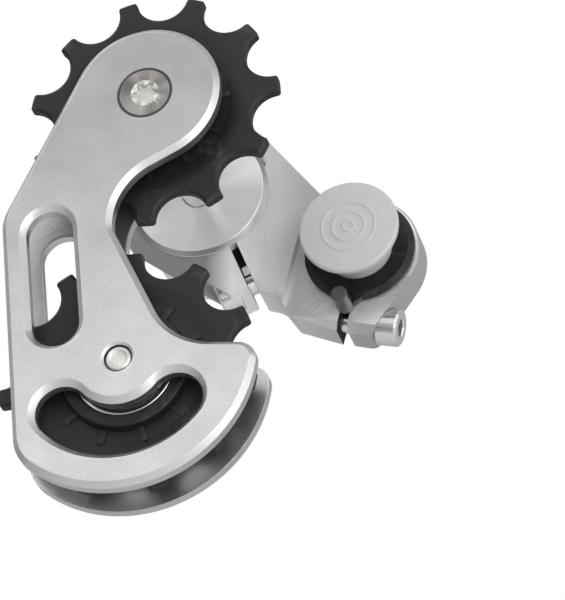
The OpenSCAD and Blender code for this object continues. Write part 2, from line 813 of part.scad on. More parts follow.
module cage_clamp_ring() {
    translate(pivot) {
        difference() {
            circle(cage_ring_r);
            rotate(flat_dir) translate([flat_dist, -cage_ring_r])
                square([cage_ring_r, 2 * cage_ring_r]);
        }
        rotate(cage_slit_dir)
            polygon([[0, cage_slit_left], [left_jaw, cage_slit_left], jaw_corner, flat_foot]);
    }
}

module arm_web() {
    bend = from_pivot(bend_place + [housing_r, 0]);
    heel = from_hanger(heel_place);
    jaw = from_pivot([right_jaw, cage_slit_right]);
    ear = from_hanger([ear_len, -hanger_slit / 2]);
    top = pivot + (cage_ring_r - edge_inset) * dir(arm_edge_dir);
    polygon(rounded([
        [pivot.x, pivot.y, 0],
        [jaw.x, jaw.y, jaw_r],
        [bend.x, bend.y, bend_r],
        [heel.x, heel.y, heel_r],
        [ear.x, ear.y, mouth_r],
        [0, 0, 0],
        [edge_end.x, edge_end.y, 0],
        [top.x, top.y, 0]
    ]));
}

module hanger_ear() {
    rotate(hanger_slit_dir) polygon(rounded([
        [0, hanger_slit / 2, 0],
        [ear_len, hanger_slit / 2, mouth_r],
        [ear_corner.x, ear_corner.y, ear_corner_r],
        [ear_tangent.x, ear_tangent.y, 0],
        [0, 0, 0]
    ]));
}

module hanger_ring() {
    turned() polygon([
        [0, hanger_face], [hanger_ring_r - ring_chamfer, hanger_face],
        [hanger_ring_r, hanger_face + ring_chamfer], [hanger_ring_r, arm_back], [0, arm_back]
    ]);
}

// The milled pocket between the ridge and the collar, open towards the slit and the heel
module arm_pocket() {
    reach = ear_len + 2 * over;
    circle(flange_r + pocket_space);
    rotate(hanger_slit_dir) polygon(rounded([
        [-pocket_reach, -ridge_dist, mill_r],
        [reach, -ridge_dist, 0],
        [reach, 0, 0],
        [-pocket_reach, 0, 0]
    ]));
}

// The wedge that chamfers the foot of the hanger clamp
module foot_wedge() {
    deep = foot_chamfer + over;
    beside_slit([0, 0], hanger_slit_dir, ear_len, -ear_len, 1, hanger_face)
        linear_extrude(2 * ear_len) polygon([[-deep, -over], [over, -over], [over, deep]]);
}

module arm_body() {
    long = arm_reach + arm_thick;
    color([0.77, 0.77, 0.78]) difference() {
        union() {
            slab(arm_front, arm_thick) {
                cage_clamp_ring();
                arm_web();
            }
            slab(hanger_face, arm_back - hanger_face) hanger_ear();
            hanger_ring();
        }
        slab(arm_front - over, arm_thick + 2 * over) {
            translate(pivot) {
                circle(housing_r + running_fit);
                rotate(cage_slit_dir) translate([housing_r - over, cage_slit_left])
                    square([right_jaw, cage_slit]);
            }
            circle(collar_r + running_fit);
            rotate(hanger_slit_dir) translate([collar_r - over, -hanger_slit / 2])
                square([ear_len, hanger_slit]);
        }
        slab(arm_front - over, pocket_depth + over) arm_pocket();
        foot_wedge();
        beside_slit(pivot, cage_slit_dir, cage_bolt_along, cage_bolt_seat, 1, arm_mid) {
            cylinder(h = cage_bolt_len + over, r = clamp_bolt_r + close_fit);
            translate([0, 0, -long]) cylinder(h = long, r = clamp_head_r + bolt_fit);
        }
        beside_slit([0, 0], hanger_slit_dir, hanger_bolt_along, hanger_bolt_seat, -1, hanger_bolt_depth) {
            cylinder(h = hanger_clamp_len + over, r = clamp_bolt_r + close_fit);
            translate([0, 0, -long]) cylinder(h = long, r = clamp_head_r + bolt_fit);
        }
    }
}

module cage_clamp_bolt() {
    color([0.6, 0.6, 0.62])
        beside_slit(pivot, cage_slit_dir, cage_bolt_along, cage_bolt_seat, 1, arm_mid)
            cap_screw(cage_bolt_len);
}

module hanger_clamp_bolt() {
    color([0.75, 0.76, 0.78])
        beside_slit([0, 0], hanger_slit_dir, hanger_bolt_along, hanger_bolt_seat, -1, hanger_bolt_depth)
            cap_screw(hanger_clamp_len);
}

// Hanger end
module collar_tongue() {
    start = (flange_r - flange_chamfer) * dir(tongue_turn);
    heel = start + tongue_side * side(tongue_turn);
    polygon(rounded([
        [0, 0, 0], [start.x, start.y, 0], [heel.x, heel.y, mouth_r], [tongue_toe.x, tongue_toe.y, mouth_r],
        [tongue_neck.x, tongue_neck.y, 0], [tongue_root.x, tongue_root.y, 0]
    ]));
}

module hanger_collar() {
    bore = thread_r + running_fit;
    color([0.11, 0.11, 0.12]) difference() {
        union() {
            turned() polygon([
                [0, 0], [flange_r - flange_chamfer, 0], [flange_r, flange_chamfer],
                [flange_r, flange_thick], [collar_r, flange_thick], [collar_r, collar_back], [0, collar_back]
            ]);
            slab(tongue_drop, flange_thick - tongue_drop) rotate(hanger_slit_dir) collar_tongue();
        }
        rod(-over, collar_back + 2 * over, bore);
        rod(-over, seat_recess + over, seat_recess_r);
        rod(collar_back - head_recess, head_recess + over, bolt_head_r + 2 * bolt_fit);
        at(pin_dist * dir(hanger_slit_dir)) rod(-over, flange_thick + 2 * over, pin_r + close_fit);
    }
}

module stop_pin() {
    color([0.16, 0.16, 0.17]) at(pin_dist * dir(hanger_slit_dir))
        rod(-pin_proud, pin_proud + flange_thick, pin_r);
}

module hanger_bolt() {
    head_front = collar_back - head_recess + washer_thick + 2 * stack_gap;
    neck_r = thread_r - groove_depth;
    color([0.55, 0.56, 0.58]) difference() {
        union() {
            rod(-thread_len, thread_len, thread_r);
            rod(0, seat_recess, neck_r);
            rod(seat_recess, head_front - seat_recess, thread_r);
            rod(head_front, bolt_head, bolt_head_r);
        }
        slab(head_front + bolt_head / 4, bolt_head) hexagon(hanger_socket);
    }
}

module hanger_bolt_washer() {
    color([0.7, 0.7, 0.7])
        tube(collar_back - head_recess + stack_gap, washer_thick, bolt_head_r, thread_r + bolt_fit);
}

module hanger_bolt_circlip() {
    color([0.3, 0.3, 0.3])
        circlip(bolt_clip_front, thread_r - groove_depth + close_fit, bolt_clip_r);
}

module thread_cap() {
    stem_r = seat_recess_r - running_fit;
    flange_back = -thread_len - cap_space;
    flange_front = flange_back - cap_flange;
    stem_end = bolt_clip_front - cap_space;
    color([0.84, 0.84, 0.88, 0.75]) {
        turned() polygon([
            [0, flange_front], [cap_flange_r, flange_front], [cap_flange_r, flange_back],
            [stem_r, flange_back], [stem_r, stem_end], [stem_r - cap_stem_wall, stem_end],
            [stem_r - cap_stem_wall, flange_back], [0, flange_back]
        ]);
        for (r = [1 : 2 : 5])
            tube(flange_front - cap_ring, cap_ring, r + cap_ring, r - cap_ring);
    }
}

near_cage_plate();
far_cage_plate();
at(pivot) pulley(guide_phase);  // guide_pulley
at(lower) pulley(tension_phase);  // tension_pulley
at(pivot) outer_race();  // guide_bearing_outer_race
at(pivot) inner_race();  // guide_bearing_inner_race
at(pivot) bearing_balls();  // guide_bearing_balls
at(pivot) bearing_seals();  // guide_bearing_seals
at(lower) outer_race();  // tension_bearing_outer_race
at(lower) inner_race();  // tension_bearing_inner_race
at(lower) bearing_balls();  // tension_bearing_balls
at(lower) bearing_seals();  // tension_bearing_seals
at(pivot) spacer_bushes();  // guide_spacer_bushes
at(lower) spacer_bushes();  // tension_spacer_bushes
guide_pulley_screw();
tension_pulley_bolt();
cage_pivot_shaft();
pivot_thrust_washer();
pivot_circlip();
spring_housing();
housing_rear_cap();
housing_end_plug();
pivot_bushes();
cage_return_spring();
arm_body();
cage_clamp_bolt();
hanger_clamp_bolt();
hanger_collar();
stop_pin();
hanger_bolt();
hanger_bolt_washer();
hanger_bolt_circlip();
thread_cap();
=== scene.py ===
"""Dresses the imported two-pulley chain tensioner: plates, pulleys, arm, hanger end and finishes."""

import logging
import math
from dataclasses import dataclass
from enum import Enum, IntEnum
from typing import Optional, Sequence

import bmesh
import bpy
from mathutils import Matrix, Vector


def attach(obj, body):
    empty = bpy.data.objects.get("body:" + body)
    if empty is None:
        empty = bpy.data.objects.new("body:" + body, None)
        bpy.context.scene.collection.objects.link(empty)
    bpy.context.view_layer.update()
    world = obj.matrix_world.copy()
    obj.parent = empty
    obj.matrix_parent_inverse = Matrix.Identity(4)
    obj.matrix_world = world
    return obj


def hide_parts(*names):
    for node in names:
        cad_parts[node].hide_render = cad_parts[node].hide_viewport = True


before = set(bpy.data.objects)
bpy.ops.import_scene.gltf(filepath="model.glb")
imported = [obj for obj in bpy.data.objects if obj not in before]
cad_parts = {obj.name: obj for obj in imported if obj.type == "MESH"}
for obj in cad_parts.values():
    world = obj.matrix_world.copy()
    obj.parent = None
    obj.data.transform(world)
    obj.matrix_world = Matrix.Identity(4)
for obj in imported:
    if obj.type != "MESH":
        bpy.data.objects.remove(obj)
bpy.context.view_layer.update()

LOG = logging.getLogger("tensioner")
METRES = 0.001  # one millimetre
TOUCHING = 0.003  # points that lie closer than this are one point
SLIVER = 0.001  # edges shorter than this are dissolved
SHARP_ANGLE = 38.0  # folds steeper than this stay crisp, in degrees
PLATE_STEP = 3.0  # degrees in one straight piece of a plate's arcs
RIM_STEP = 4.0  # the same on a pulley's rim
ROUND_STEP = 5.0  # the same on holes and screws
FINE_STEP = 10.0  # the same on the teeth
SHARPEST = 0.05  # half angle that the sharpest corner is taken to have, in radians
ROUND_SHARE = 0.45  # share of a side that a corner's round may take

Section = Sequence[tuple[float, float]]
Colour = tuple[float, float, float]
Edges = list[bmesh.types.BMEdge]
Mesh = bmesh.types.BMesh
Material = bpy.types.Material
Socket = bpy.types.NodeSocket


class Coat(IntEnum):
    """Which of a piece's materials a face wears."""

    MAIN = 0
    CUT = 1
    # DARK holds painted shade: in the screw holes, on the slits' walls and on the barrel where a
    # slit opens.
    DARK = 2


# --- Flat geometry -----------------------------------------------------------------------------


def heading(angle: float) -> Vector:
    """Unit vector in the X-Z plane at an angle in degrees."""
    return Vector((math.cos(math.radians(angle)), math.sin(math.radians(angle))))


def square_to(angle: float) -> Vector:
    """Unit vector a quarter turn on from an angle in degrees."""
    return heading(angle + 90)


def bearing(step: Vector) -> float:
    """Angle of a flat vector in degrees."""
    return math.degrees(math.atan2(step.y, step.x))


def above(angle: float, floor_angle: float) -> float:
    """The angle with whole turns added until it is not below another."""
    while angle < floor_angle:
        angle += 360
    return angle


def meet(first: float, first_depth: float, second: float, second_depth: float) -> Vector:
    """Where two lines cross.

    Args:
        first: Direction of the first line's normal, in degrees.
        first_depth: The first line's distance from the origin.
        second: Direction of the second line's normal, in degrees.
        second_depth: The second line's distance from the origin.

    Returns:
        The crossing point.
    """
    a, b = math.radians(first), math.radians(second)
    turn = math.sin(b - a)
    return Vector((
        (first_depth * math.sin(b) - second_depth * math.sin(a)) / turn,
        (second_depth * math.cos(a) - first_depth * math.cos(b)) / turn,
    ))


def nested(centre: Vector, reach: float, angle: float, depth: float, way: int) -> Vector:
    """Centre of an arc that touches a line and sits inside a larger circle.

    Args:
        centre: The larger circle's centre.
        reach: Distance between the two centres.
        angle: Direction of the line's normal, in degrees.
        depth: The wanted centre's depth along that normal.
        way: 1 or -1, for the side of the normal on which the centre lies.

    Returns:
        The arc's centre.
    """
    across = math.sqrt(reach * reach - depth * depth)
    return centre + depth * heading(angle) + way * across * square_to(angle)


def soften(section: Section, radius: float, steps: int = 3) -> list[tuple[float, float]]:
    """Rounds the inner corners of an open profile.

    Args:
        section: The profile's points.
        radius: The round's radius.
        steps: Straight pieces in each round.

    Returns:
        The points with each inner corner drawn as a round.
    """
    points = [Vector(p) for p in section]
    out = [points[0]]
    for before, here, after in zip(points, points[1:], points[2:]):
        back, on = before - here, after - here
        half = max(back.angle(on) / 2, SHARPEST)
        reach = min(radius / math.tan(half), ROUND_SHARE * back.length, ROUND_SHARE * on.length)
        start = here + back.normalized() * reach
        stop = here + on.normalized() * reach
        for k in range(steps + 1):
            t = k / steps
            out.append(start * (1 - t) ** 2 + here * 2 * t * (1 - t) + stop * t * t)
    out.append(points[-1])
    return [(p.x, p.y) for p in out]


@dataclass(frozen=True)
class Arc:
    """One arc of an outline in the X-Z plane; a negative radius hollows the outline inwards."""

    centre: Vector
    radius: float
    start: float
    end: float


@dataclass(frozen=True)
class Outline:
    """A closed outline of arcs, joined by straight lines where they don't meet."""

    arcs: tuple[Arc, ...]
    step: float = PLATE_STEP

    def draw(self, y: float, inset: float) -> Mesh:
        """Draws the outline as one closed ring.

        Args:
            y: The ring's place along Y.
            inset: How far the ring lies inside the outline.

        Returns:
            A small mesh that holds just the ring.
        """
        mesh = bmesh.new()
        first: Optional[bmesh.types.BMVert] = None
        last: Optional[bmesh.types.BMVert] = None
        for arc in self.arcs:
            place = arc.centre + (arc.radius - inset) * heading(arc.start)
            spot = Vector((place.x, y, place.y))
            if last is not None and (last.co - spot).length < TOUCHING:
                start = last
            else:
                start = mesh.verts.new(spot)
                if last is not None:
                    mesh.edges.new((last, start))
            first = first or start
            sweep = arc.end - arc.start
            spun = bmesh.ops.spin(
                mesh, geom=[start], cent=(arc.centre.x, y, arc.centre.y), axis=(0, -1, 0),
                angle=math.radians(sweep), steps=max(2, math.ceil(abs(sweep) / self.step)),
                use_duplicate=False,
            )
            last = next(v for v in spun["geom_last"] if isinstance(v, bmesh.types.BMVert))
        if (last.co - first.co).length < TOUCHING:
            bmesh.ops.weld_verts(mesh, targetmap={last: first})
        else:
            mesh.edges.new((last, first))
        return mesh


def circle(centre: Vector, radius: float, step: float = ROUND_STEP) -> Outline:
    """A whole circle as an outline."""
    return Outline((Arc(centre, radius, 0, 180), Arc(centre, radius, 180, 360)), step)


# --- Mesh making -------------------------------------------------------------------------------


def scene_object(name: str, data: bpy.types.ID) -> bpy.types.Object:
    """Puts a mesh, a camera or a light into the scene."""
    piece = bpy.data.objects.new(name, data)
    bpy.context.scene.collection.objects.link(piece)
    return piece


def mesh_object(name: str, mesh: Mesh) -> bpy.types.Object:
    """Turns a mesh that is done into an object of the scene."""
    data = bpy.data.meshes.new(name)
    mesh.to_mesh(data)
    mesh.free()
    return scene_object(name, data)


class Workpiece:
    """A mesh being made in millimetres, which ends as one object in metres."""

    def __init__(self, mesh: Optional[Mesh] = None) -> None:
        """Starts with nothing on the bench, or with a mesh that is there already."""
        self.mesh = bmesh.new() if mesh is None else mesh

    def ring(self, outline: Outline, y: float, inset: float = 0.0) -> Edges:
        """Adds one ring of an outline and returns its edges."""
        drawn = outline.draw(y, inset)
        points = {v: self.mesh.verts.new(v.co) for v in drawn.verts}
        edges = [self.mesh.edges.new([points[v] for v in e.verts]) for e in drawn.edges]
        drawn.free()
        return edges

    def bridge(self, one: Edges, other: Edges, coat: Coat) -> None:
        """Joins two rings of edges with a band of faces."""
        for face in bmesh.ops.bridge_loops(self.mesh, edges=one + other)["faces"]:
            face.material_index = coat

    def walls(self, outline: Outline, section: Section, coat: Coat = Coat.MAIN,
              cuts: Sequence[int] = ()) -> tuple[Edges, Edges]:
        """Runs a section round an outline.

        Args:
            outline: The outline that the walls follow.
            section: Points of the section as (y, inset).
            coat: Material of the walls.
            cuts: Numbers of the bands that wear the cut's material instead.

        Returns:
            The first and the last ring of edges.
        """
        rings = [self.ring(outline, y, inset) for y, inset in section]
        for k, (one, other) in enumerate(zip(rings, rings[1:])):
            self.bridge(one, other, Coat.CUT if k in cuts else coat)
        return rings[0], rings[-1]

    def tube(self, centre: Vector, profile: Section, coat: Coat = Coat.MAIN,
             cuts: Sequence[int] = (), step: float = ROUND_STEP) -> tuple[Edges, Edges]:
        """Runs a profile round an axis along Y and leaves both ends open.

        Args:
            centre: The axis's place in X and Z.
            profile: Points of the profile as (radius, y).
            coat: Material of the tube.
            cuts: Numbers of the bands that wear the cut's material instead.
            step: Degrees in one straight piece.

        Returns:
            The first and the last ring of edges.
        """
        return self.walls(circle(centre, 0.0, step), [(y, -r) for r, y in profile], coat, cuts)

    def fill(self, edges: Edges, coat: Coat = Coat.MAIN) -> None:
        """Closes flat rings of edges, the inner ones as holes."""
        made = bmesh.ops.triangle_fill(
            self.mesh, use_beauty=True, use_dissolve=False, edges=edges, normal=(0, 1, 0)
        )
        for face in made["geom"]:
            if isinstance(face, bmesh.types.BMFace):
                face.material_index = coat

    def close(self, edges: Edges, coat: Coat = Coat.MAIN) -> None:
        """Closes one ring of edges with a single face."""
        bmesh.ops.edgeloop_fill(self.mesh, edges=edges, mat_nr=coat, use_smooth=False)

    def turn(self, centre: Vector, profile: Section, steps: int = 96) -> None:
        """Spins a profile about an axis along Y.

        Args:
            centre: The axis's place in X and Z.
            profile: Points of the profile as (radius, y).
            steps: Pieces in the full turn.
        """
        points = [self.mesh.verts.new((centre.x + r, y, centre.y)) for r, y in profile]
        lines = [self.mesh.edges.new(pair) for pair in zip(points, points[1:])]
        bmesh.ops.spin(
            self.mesh, geom=points + lines, cent=(centre.x, 0, centre.y), axis=(0, 1, 0),
            angle=math.tau, steps=steps, use_merge=True, use_duplicate=False,
        )

    def block(self, size: Vector, place: Matrix) -> None:
        """Adds a block of a given size, centred on a place."""
        bmesh.ops.create_cube(self.mesh, size=1.0, matrix=place @ Matrix.Diagonal((*size, 1)))

    def move(self, matrix: Matrix) -> None:
        """Moves everything made so far."""
        bmesh.ops.transform(self.mesh, matrix=matrix, verts=self.mesh.verts)

    def finish(self, name: str, body: str, materials: Sequence[Material],
               node: str, edge: float = 0.0) -> None:
        """Closes the work: one object, riding on its body.

        Args:
            name: The piece's name.
            body: The body it rides on.
            materials: Its materials, in the order of Coat.
            node: The CAD node that it stands for.
            edge: Width of a small round put on every sharp edge, in millimetres.
        """
        bmesh.ops.remove_doubles(self.mesh, verts=self.mesh.verts, dist=TOUCHING)
        bmesh.ops.dissolve_degenerate(self.mesh, dist=SLIVER, edges=self.mesh.edges)
        bmesh.ops.recalc_face_normals(self.mesh, faces=self.mesh.faces)
        bmesh.ops.scale(self.mesh, vec=(METRES, METRES, METRES), verts=self.mesh.verts)
        piece = mesh_object(name, self.mesh)
        for material in materials:
            piece.data.materials.append(material)
        smooth(piece, edge)
        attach(piece, body)
        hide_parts(node)
        LOG.info("%s: %d faces on %s", name, len(piece.data.polygons), body)


def smooth(piece: bpy.types.Object, edge: float = 0.0) -> None:
    """Shades a piece smooth between its sharp edges, with an optional small round on them.

    Args:
        piece: The object.
        edge: Width of the round in millimetres, or none at 0.
    """
    data = piece.data
    data.polygons.foreach_set("use_smooth", [True] * len(data.polygons))
    data.set_sharp_from_angle(angle=math.radians(SHARP_ANGLE))
    if edge:
        bevel = piece.modifiers.new("edge", "BEVEL")
        bevel.width = edge * METRES
        bevel.segments = 2
        bevel.limit_method = "ANGLE"
        bevel.angle_limit = math.radians(SHARP_ANGLE)
        bevel.harden_normals = False
    weighted = piece.modifiers.new("shade", "WEIGHTED_NORMAL")
    weighted.keep_sharp = True
    weighted.weight = 80


def turned_piece(name: str, body: str, material: Material, node: str,
                 centre: Vector, profile: Section, steps: int = 96) -> None:
    """Makes a piece that is one turned profile.

    Args:
        name: The piece's name.
        body: The body it rides on.
        material: Its material.
        node: The CAD node that it stands for.
        centre: Its axis in X and Z.
        profile: Points of the profile as (radius, y).
        steps: Pieces in the full turn.
    """
    work = Workpiece()
    work.turn(centre, profile, steps)
    work.finish(name, body, [material], node)


def dress(material: Material, *nodes: str) -> None:
    """Gives CAD nodes that keep their own shape a finish."""
    for node in nodes:
        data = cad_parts[node].data
        data.materials.clear()
        data.materials.append(material)


# --- Finishes ----------------------------------------------------------------------------------


class Nodes:
    """Short hand for a material's or a group's node tree."""

    def __init__(self, tree: bpy.types.NodeTree) -> None:
        """Holds the tree."""
        self.tree = tree

    def feed(self, node: bpy.types.Node, inputs: dict) -> None:
        """Sets a node's inputs.

        Args:
            node: The node.
            inputs: Socket name or number to a value, or to an output socket to link from.
        """
        for key, value in inputs.items():
            if isinstance(value, Socket):
                self.tree.links.new(value, node.inputs[key])
            else:
                node.inputs[key].default_value = value

    def add(self, kind: str, inputs: Optional[dict] = None, **settings: object) -> bpy.types.Node:
        """Adds a node.

        Args:
            kind: The node's type name after "ShaderNode".
            inputs: What feed takes.
            **settings: The node's own properties.

        Returns:
            The node.
        """
        node = self.tree.nodes.new("ShaderNode" + kind)
        for key, value in settings.items():
            setattr(node, key, value)
        self.feed(node, inputs or {})
        return node

    def math(self, operation: str, *values: object) -> Socket:
        """A Math node's result for numbers or sockets."""
        return self.add("Math", dict(enumerate(values)), operation=operation).outputs[0]

    def product(self, first: Socket, *others: object) -> Socket:
        """Several numbers or sockets multiplied."""
        for other in others:
            first = self.math("MULTIPLY", first, other)
        return first

    def noise(self, inputs: dict, **settings: object) -> Socket:
        """A Noise node's value."""
        return self.add("TexNoise", inputs, **settings).outputs["Fac"]

    def grey(self, tone: Socket) -> Socket:
        """A tone as a colour."""
        return self.add("CombineColor", {0: tone, 1: tone, 2: tone}).outputs[0]

    def ramp(self, value: Socket, low: float, high: float,
             to_low: float = 0.0, to_high: float = 1.0) -> Socket:
        """Maps a value's range onto another, clamped."""
        return self.add("MapRange", {
            "Value": value, "From Min": low, "From Max": high, "To Min": to_low, "To Max": to_high,
        }).outputs["Result"]

    def place(self, centre: tuple[float, float]) -> Socket:
        """Object coordinates in millimetres, measured from an axis at a place in X and Z."""
        return self.add("Mapping", {
            "Vector": self.add("TexCoord").outputs["Object"],
            "Location": (-centre[0], 0, -centre[1]), "Scale": (1000, 1000, 1000),
        }).outputs[0]


def new_group(name: str, inputs: dict[str, float], outputs: Sequence[str]) -> tuple:
    """Makes an empty shader group with a Vector input and named numbers.

    Args:
        name: The group's name.
        inputs: Names of the number inputs with their defaults.
        outputs: Names of the number outputs.

    Returns:
        The group's node helper, its input sockets by name, and its output node.
    """
    tree = bpy.data.node_groups.new(name, "ShaderNodeTree")
    tree.interface.new_socket(name="Vector", in_out="INPUT", socket_type="NodeSocketVector")
    for key, value in inputs.items():
        socket = tree.interface.new_socket(name=key, in_out="INPUT", socket_type="NodeSocketFloat")
        socket.default_value = value
    for key in outputs:
        tree.interface.new_socket(name=key, in_out="OUTPUT", socket_type="NodeSocketFloat")
    return Nodes(tree), tree.nodes.new("NodeGroupInput").outputs, tree.nodes.new("NodeGroupOutput")


def grain_group() -> bpy.types.NodeTree:
    """Fine surface grain with larger soft patches over it."""
    n, given, out = new_group("surface_grain", {"Fine": 6.0, "Broad": 0.15}, ("Grain", "Patches"))
    fine = n.noise({"Vector": given["Vector"], "Scale": given["Fine"], "Detail": 3.0,
                    "Roughness": 0.6})
    broad = n.noise({"Vector": given["Vector"], "Scale": given["Broad"], "Detail": 4.0,
                     "Roughness": 0.55})
    n.feed(out, {"Grain": fine, "Patches": n.ramp(broad, 0.3, 0.7)})
    return n.tree


def turning_group() -> bpy.types.NodeTree:
    """Fine rings round an axis along Y, as a lathe or an end mill leaves."""
    n, given, out = new_group("turning_lines", {"Pitch": 0.2, "Wander": 0.3}, ("Lines",))
    parts = n.add("SeparateXYZ", {0: given["Vector"]}).outputs
    across, along = (n.math("POWER", parts[key], 2.0) for key in "XZ")
    radius = n.math("SQRT", n.math("ADD", across, along))
    rings = n.noise({"W": n.math("DIVIDE", radius, given["Pitch"]), "Scale": 1.0, "Detail": 2.0},
                    noise_dimensions="1D")
    drift = n.noise({"Vector": given["Vector"], "Scale": 0.4})
    n.feed(out, {"Lines": n.math("ADD", rings, n.product(drift, given["Wander"]))})
    return n.tree


def wear_group() -> bpy.types.NodeTree:
    """A mask of handled edges, from the surface's convexity broken up by noise."""
    n, given, out = new_group("edge_wear", {"Size": 0.25, "Amount": 0.5}, ("Mask",))
    edges = n.ramp(n.add("NewGeometry").outputs["Pointiness"], 0.505, 0.56)
    spots = n.noise({"Vector": given["Vector"], "Scale": given["Size"], "Detail": 5.0})
    n.feed(out, {"Mask": n.product(edges, n.ramp(spots, 0.42, 0.62), given["Amount"])})
    return n.tree


GRAIN = grain_group()
TURNING = turning_group()
WEAR = wear_group()


class Surface:
    """A new material whose tree already holds the shared grain."""

    def __init__(self, name: str, centre: tuple[float, float], fine: float, broad: float) -> None:
        """Makes the material.

        Args:
            name: Its name.
            centre: Place in X and Z that its marks run round.
            fine: Scale of the fine grain.
            broad: Scale of the soft patches.
        """
        self.material = bpy.data.materials.new(name)
        self.material.use_nodes = True
        self.nodes = Nodes(self.material.node_tree)
        self.shader = self.material.node_tree.nodes["Principled BSDF"]
        self.where = self.nodes.place(centre)
        grain = self.nodes.add("Group", {"Vector": self.where, "Fine": fine, "Broad": broad},
                               node_tree=GRAIN).outputs
        self.grain, self.patches = grain["Grain"], grain["Patches"]

    def wire(self, roughness: tuple[float, float], marks: Socket, relief: float,
             inputs: dict) -> Material:
        """Joins roughness, relief and the rest to the shader.

        Args:
            roughness: Roughness in the smoothest and in the roughest patches.
            marks: The relief's pattern.
            relief: The relief's height in centimetres.
            inputs: The shader's other inputs.

        Returns:
            The material.
        """
        bump = self.nodes.add("Bump", {"Height": marks, "Strength": 1.0,
                                       "Distance": relief * METRES * 10})
        rough = self.nodes.ramp(self.patches, 0, 1, *roughness)
        self.nodes.feed(self.shader, {**inputs, "Roughness": rough, "Normal": bump.outputs[0]})
        return self.material


class Lay(Enum):
    """How a metal surface's marks run; the value is how far its rings wander."""

    BLASTED = 0.0
    TURNED = 0.25
    MILLED = 0.6


@dataclass(frozen=True)
class PaintedLightFade:
    """Painted light and shade: a tone that changes steadily along one direction, standing in for how
    the lamps fall across a face.
    """

    way: tuple[float, float, float]
    start: float
    end: float
    start_tone: float
    end_tone: float

    def tone(self, n: Nodes, where: Socket) -> Socket:
        """The tone at a place.

        Args:
            n: The tree to build in.
            where: The place in millimetres.

        Returns:
            The tone as a number socket.
        """
        along = n.add("VectorMath", {0: where, 1: self.way}, operation="DOT_PRODUCT")
        return n.ramp(along.outputs["Value"], self.start, self.end, self.start_tone, self.end_tone)


@dataclass(frozen=True)
class MetalFinish:
    """A bare or plated metal.

    Attributes:
        name: The material's name.
        colour: Its base colour.
        roughness: Its middle roughness.
        lay: How its marks run.
        centre: Place in X and Z that its marks run round.
        grain: Scale of its fine grain.
        relief: Height of its marks, in centimetres.
        line_pitch: Distance between turned or milled rings, in millimetres.
        variation: How much darker its darkest patches and specks are.
        metallic: Share of metal in its reflection.
        painted_light_fades: Painted light and shade laid over it as steady tone ramps.
        painted_reflection_wedges: How much darker the darkest wedge of painted reflection round its
            centre is.
    """

    name: str
    colour: Colour
    roughness: float
    lay: Lay = Lay.BLASTED
    centre: tuple[float, float] = (0.0, 0.0)
    grain: float = 7.0
    relief: float = 0.004
    line_pitch: float = 0.12
    variation: float = 0.08
    metallic: float = 1.0
    painted_light_fades: tuple[PaintedLightFade, ...] = ()
    painted_reflection_wedges: float = 0.0

    def painted_reflection_fan(self, n: Nodes, where: Socket) -> Socket:
        """Painted reflection: light and dark sectors round the axis, standing in for the radial
        highlights that a turned face reflects.
        """
        flat = n.add("VectorMath", {0: where, 1: (1, 0, 1)}, operation="MULTIPLY").outputs[0]
        ray = n.add("VectorMath", {0: flat}, operation="NORMALIZE").outputs[0]
        noise = n.noise({"Vector": ray, "Scale": 0.9, "Detail": 1.0})
        return n.ramp(noise, 0.38, 0.62, 1 - self.painted_reflection_wedges, 1.0)

    def make(self) -> Material:
        """Builds the material: tinted metal whose roughness and relief follow its marks."""
        surface = Surface(self.name, self.centre, self.grain, broad=0.12)
        n, where, marks = surface.nodes, surface.where, surface.grain
        if self.lay is not Lay.BLASTED:
            rings = n.add("Group", {"Vector": where, "Pitch": self.line_pitch,
                                    "Wander": self.lay.value}, node_tree=TURNING)
            marks = n.math("ADD", n.product(marks, 0.35), rings.outputs["Lines"])
        least = 1 - self.variation
        tones = [n.ramp(surface.patches, 0, 1, least), n.ramp(surface.grain, 0.3, 0.7, least)]
        tones += [painted_fade.tone(n, where) for painted_fade in self.painted_light_fades]
        if self.painted_reflection_wedges:
            tones.append(self.painted_reflection_fan(n, where))
        colour = n.add("Mix", {0: 1.0, 6: (*self.colour, 1), 7: n.grey(n.product(*tones))},
                       data_type="RGBA", blend_type="MULTIPLY").outputs[2]
        return surface.wire((self.roughness * 0.88, self.roughness * 1.15), marks, self.relief,
                            {"Base Color": colour, "Metallic": self.metallic})


@dataclass(frozen=True)
class PlasticFinish:
    """A moulded plastic, rubber or dark anodised skin.

    Attributes:
        name: The material's name.
        colour: Its base colour.
        roughness: Its middle roughness.
        worn: Colour of its rubbed edges.
        wear: How far that colour shows.
        grain: Scale of its fine grain.
        relief: Height of its grain, in centimetres.
        specular: Strength of its reflection.
    """

    name: str
    colour: Colour
    roughness: float
    worn: Colour = (0.2, 0.2, 0.2)
    wear: float = 0.25
    grain: float = 3.0
    relief: float = 0.003
    specular: float = 0.5

    def make(self) -> Material:
        """Builds the material: a skin with grain, soft patches and rubbed edges."""
        surface = Surface(self.name, (0.0, 0.0), self.grain, broad=0.2)
        wear = surface.nodes.add("Group", {"Vector": surface.where, "Size": 0.5,
                                           "Amount": self.wear}, node_tree=WEAR)
        colour = surface.nodes.add("Mix", {0: wear.outputs["Mask"], 6: (*self.colour, 1),
                                           7: (*self.worn, 1)}, data_type="RGBA").outputs[2]
        inputs = {"Base Color": colour, "Specular IOR Level": self.specular}
        return surface.wire((self.roughness * 0.85, self.roughness * 1.15), surface.grain,
                            self.relief, inputs)


# --- Places and depths shared by the sub-assemblies --------------------------------------------

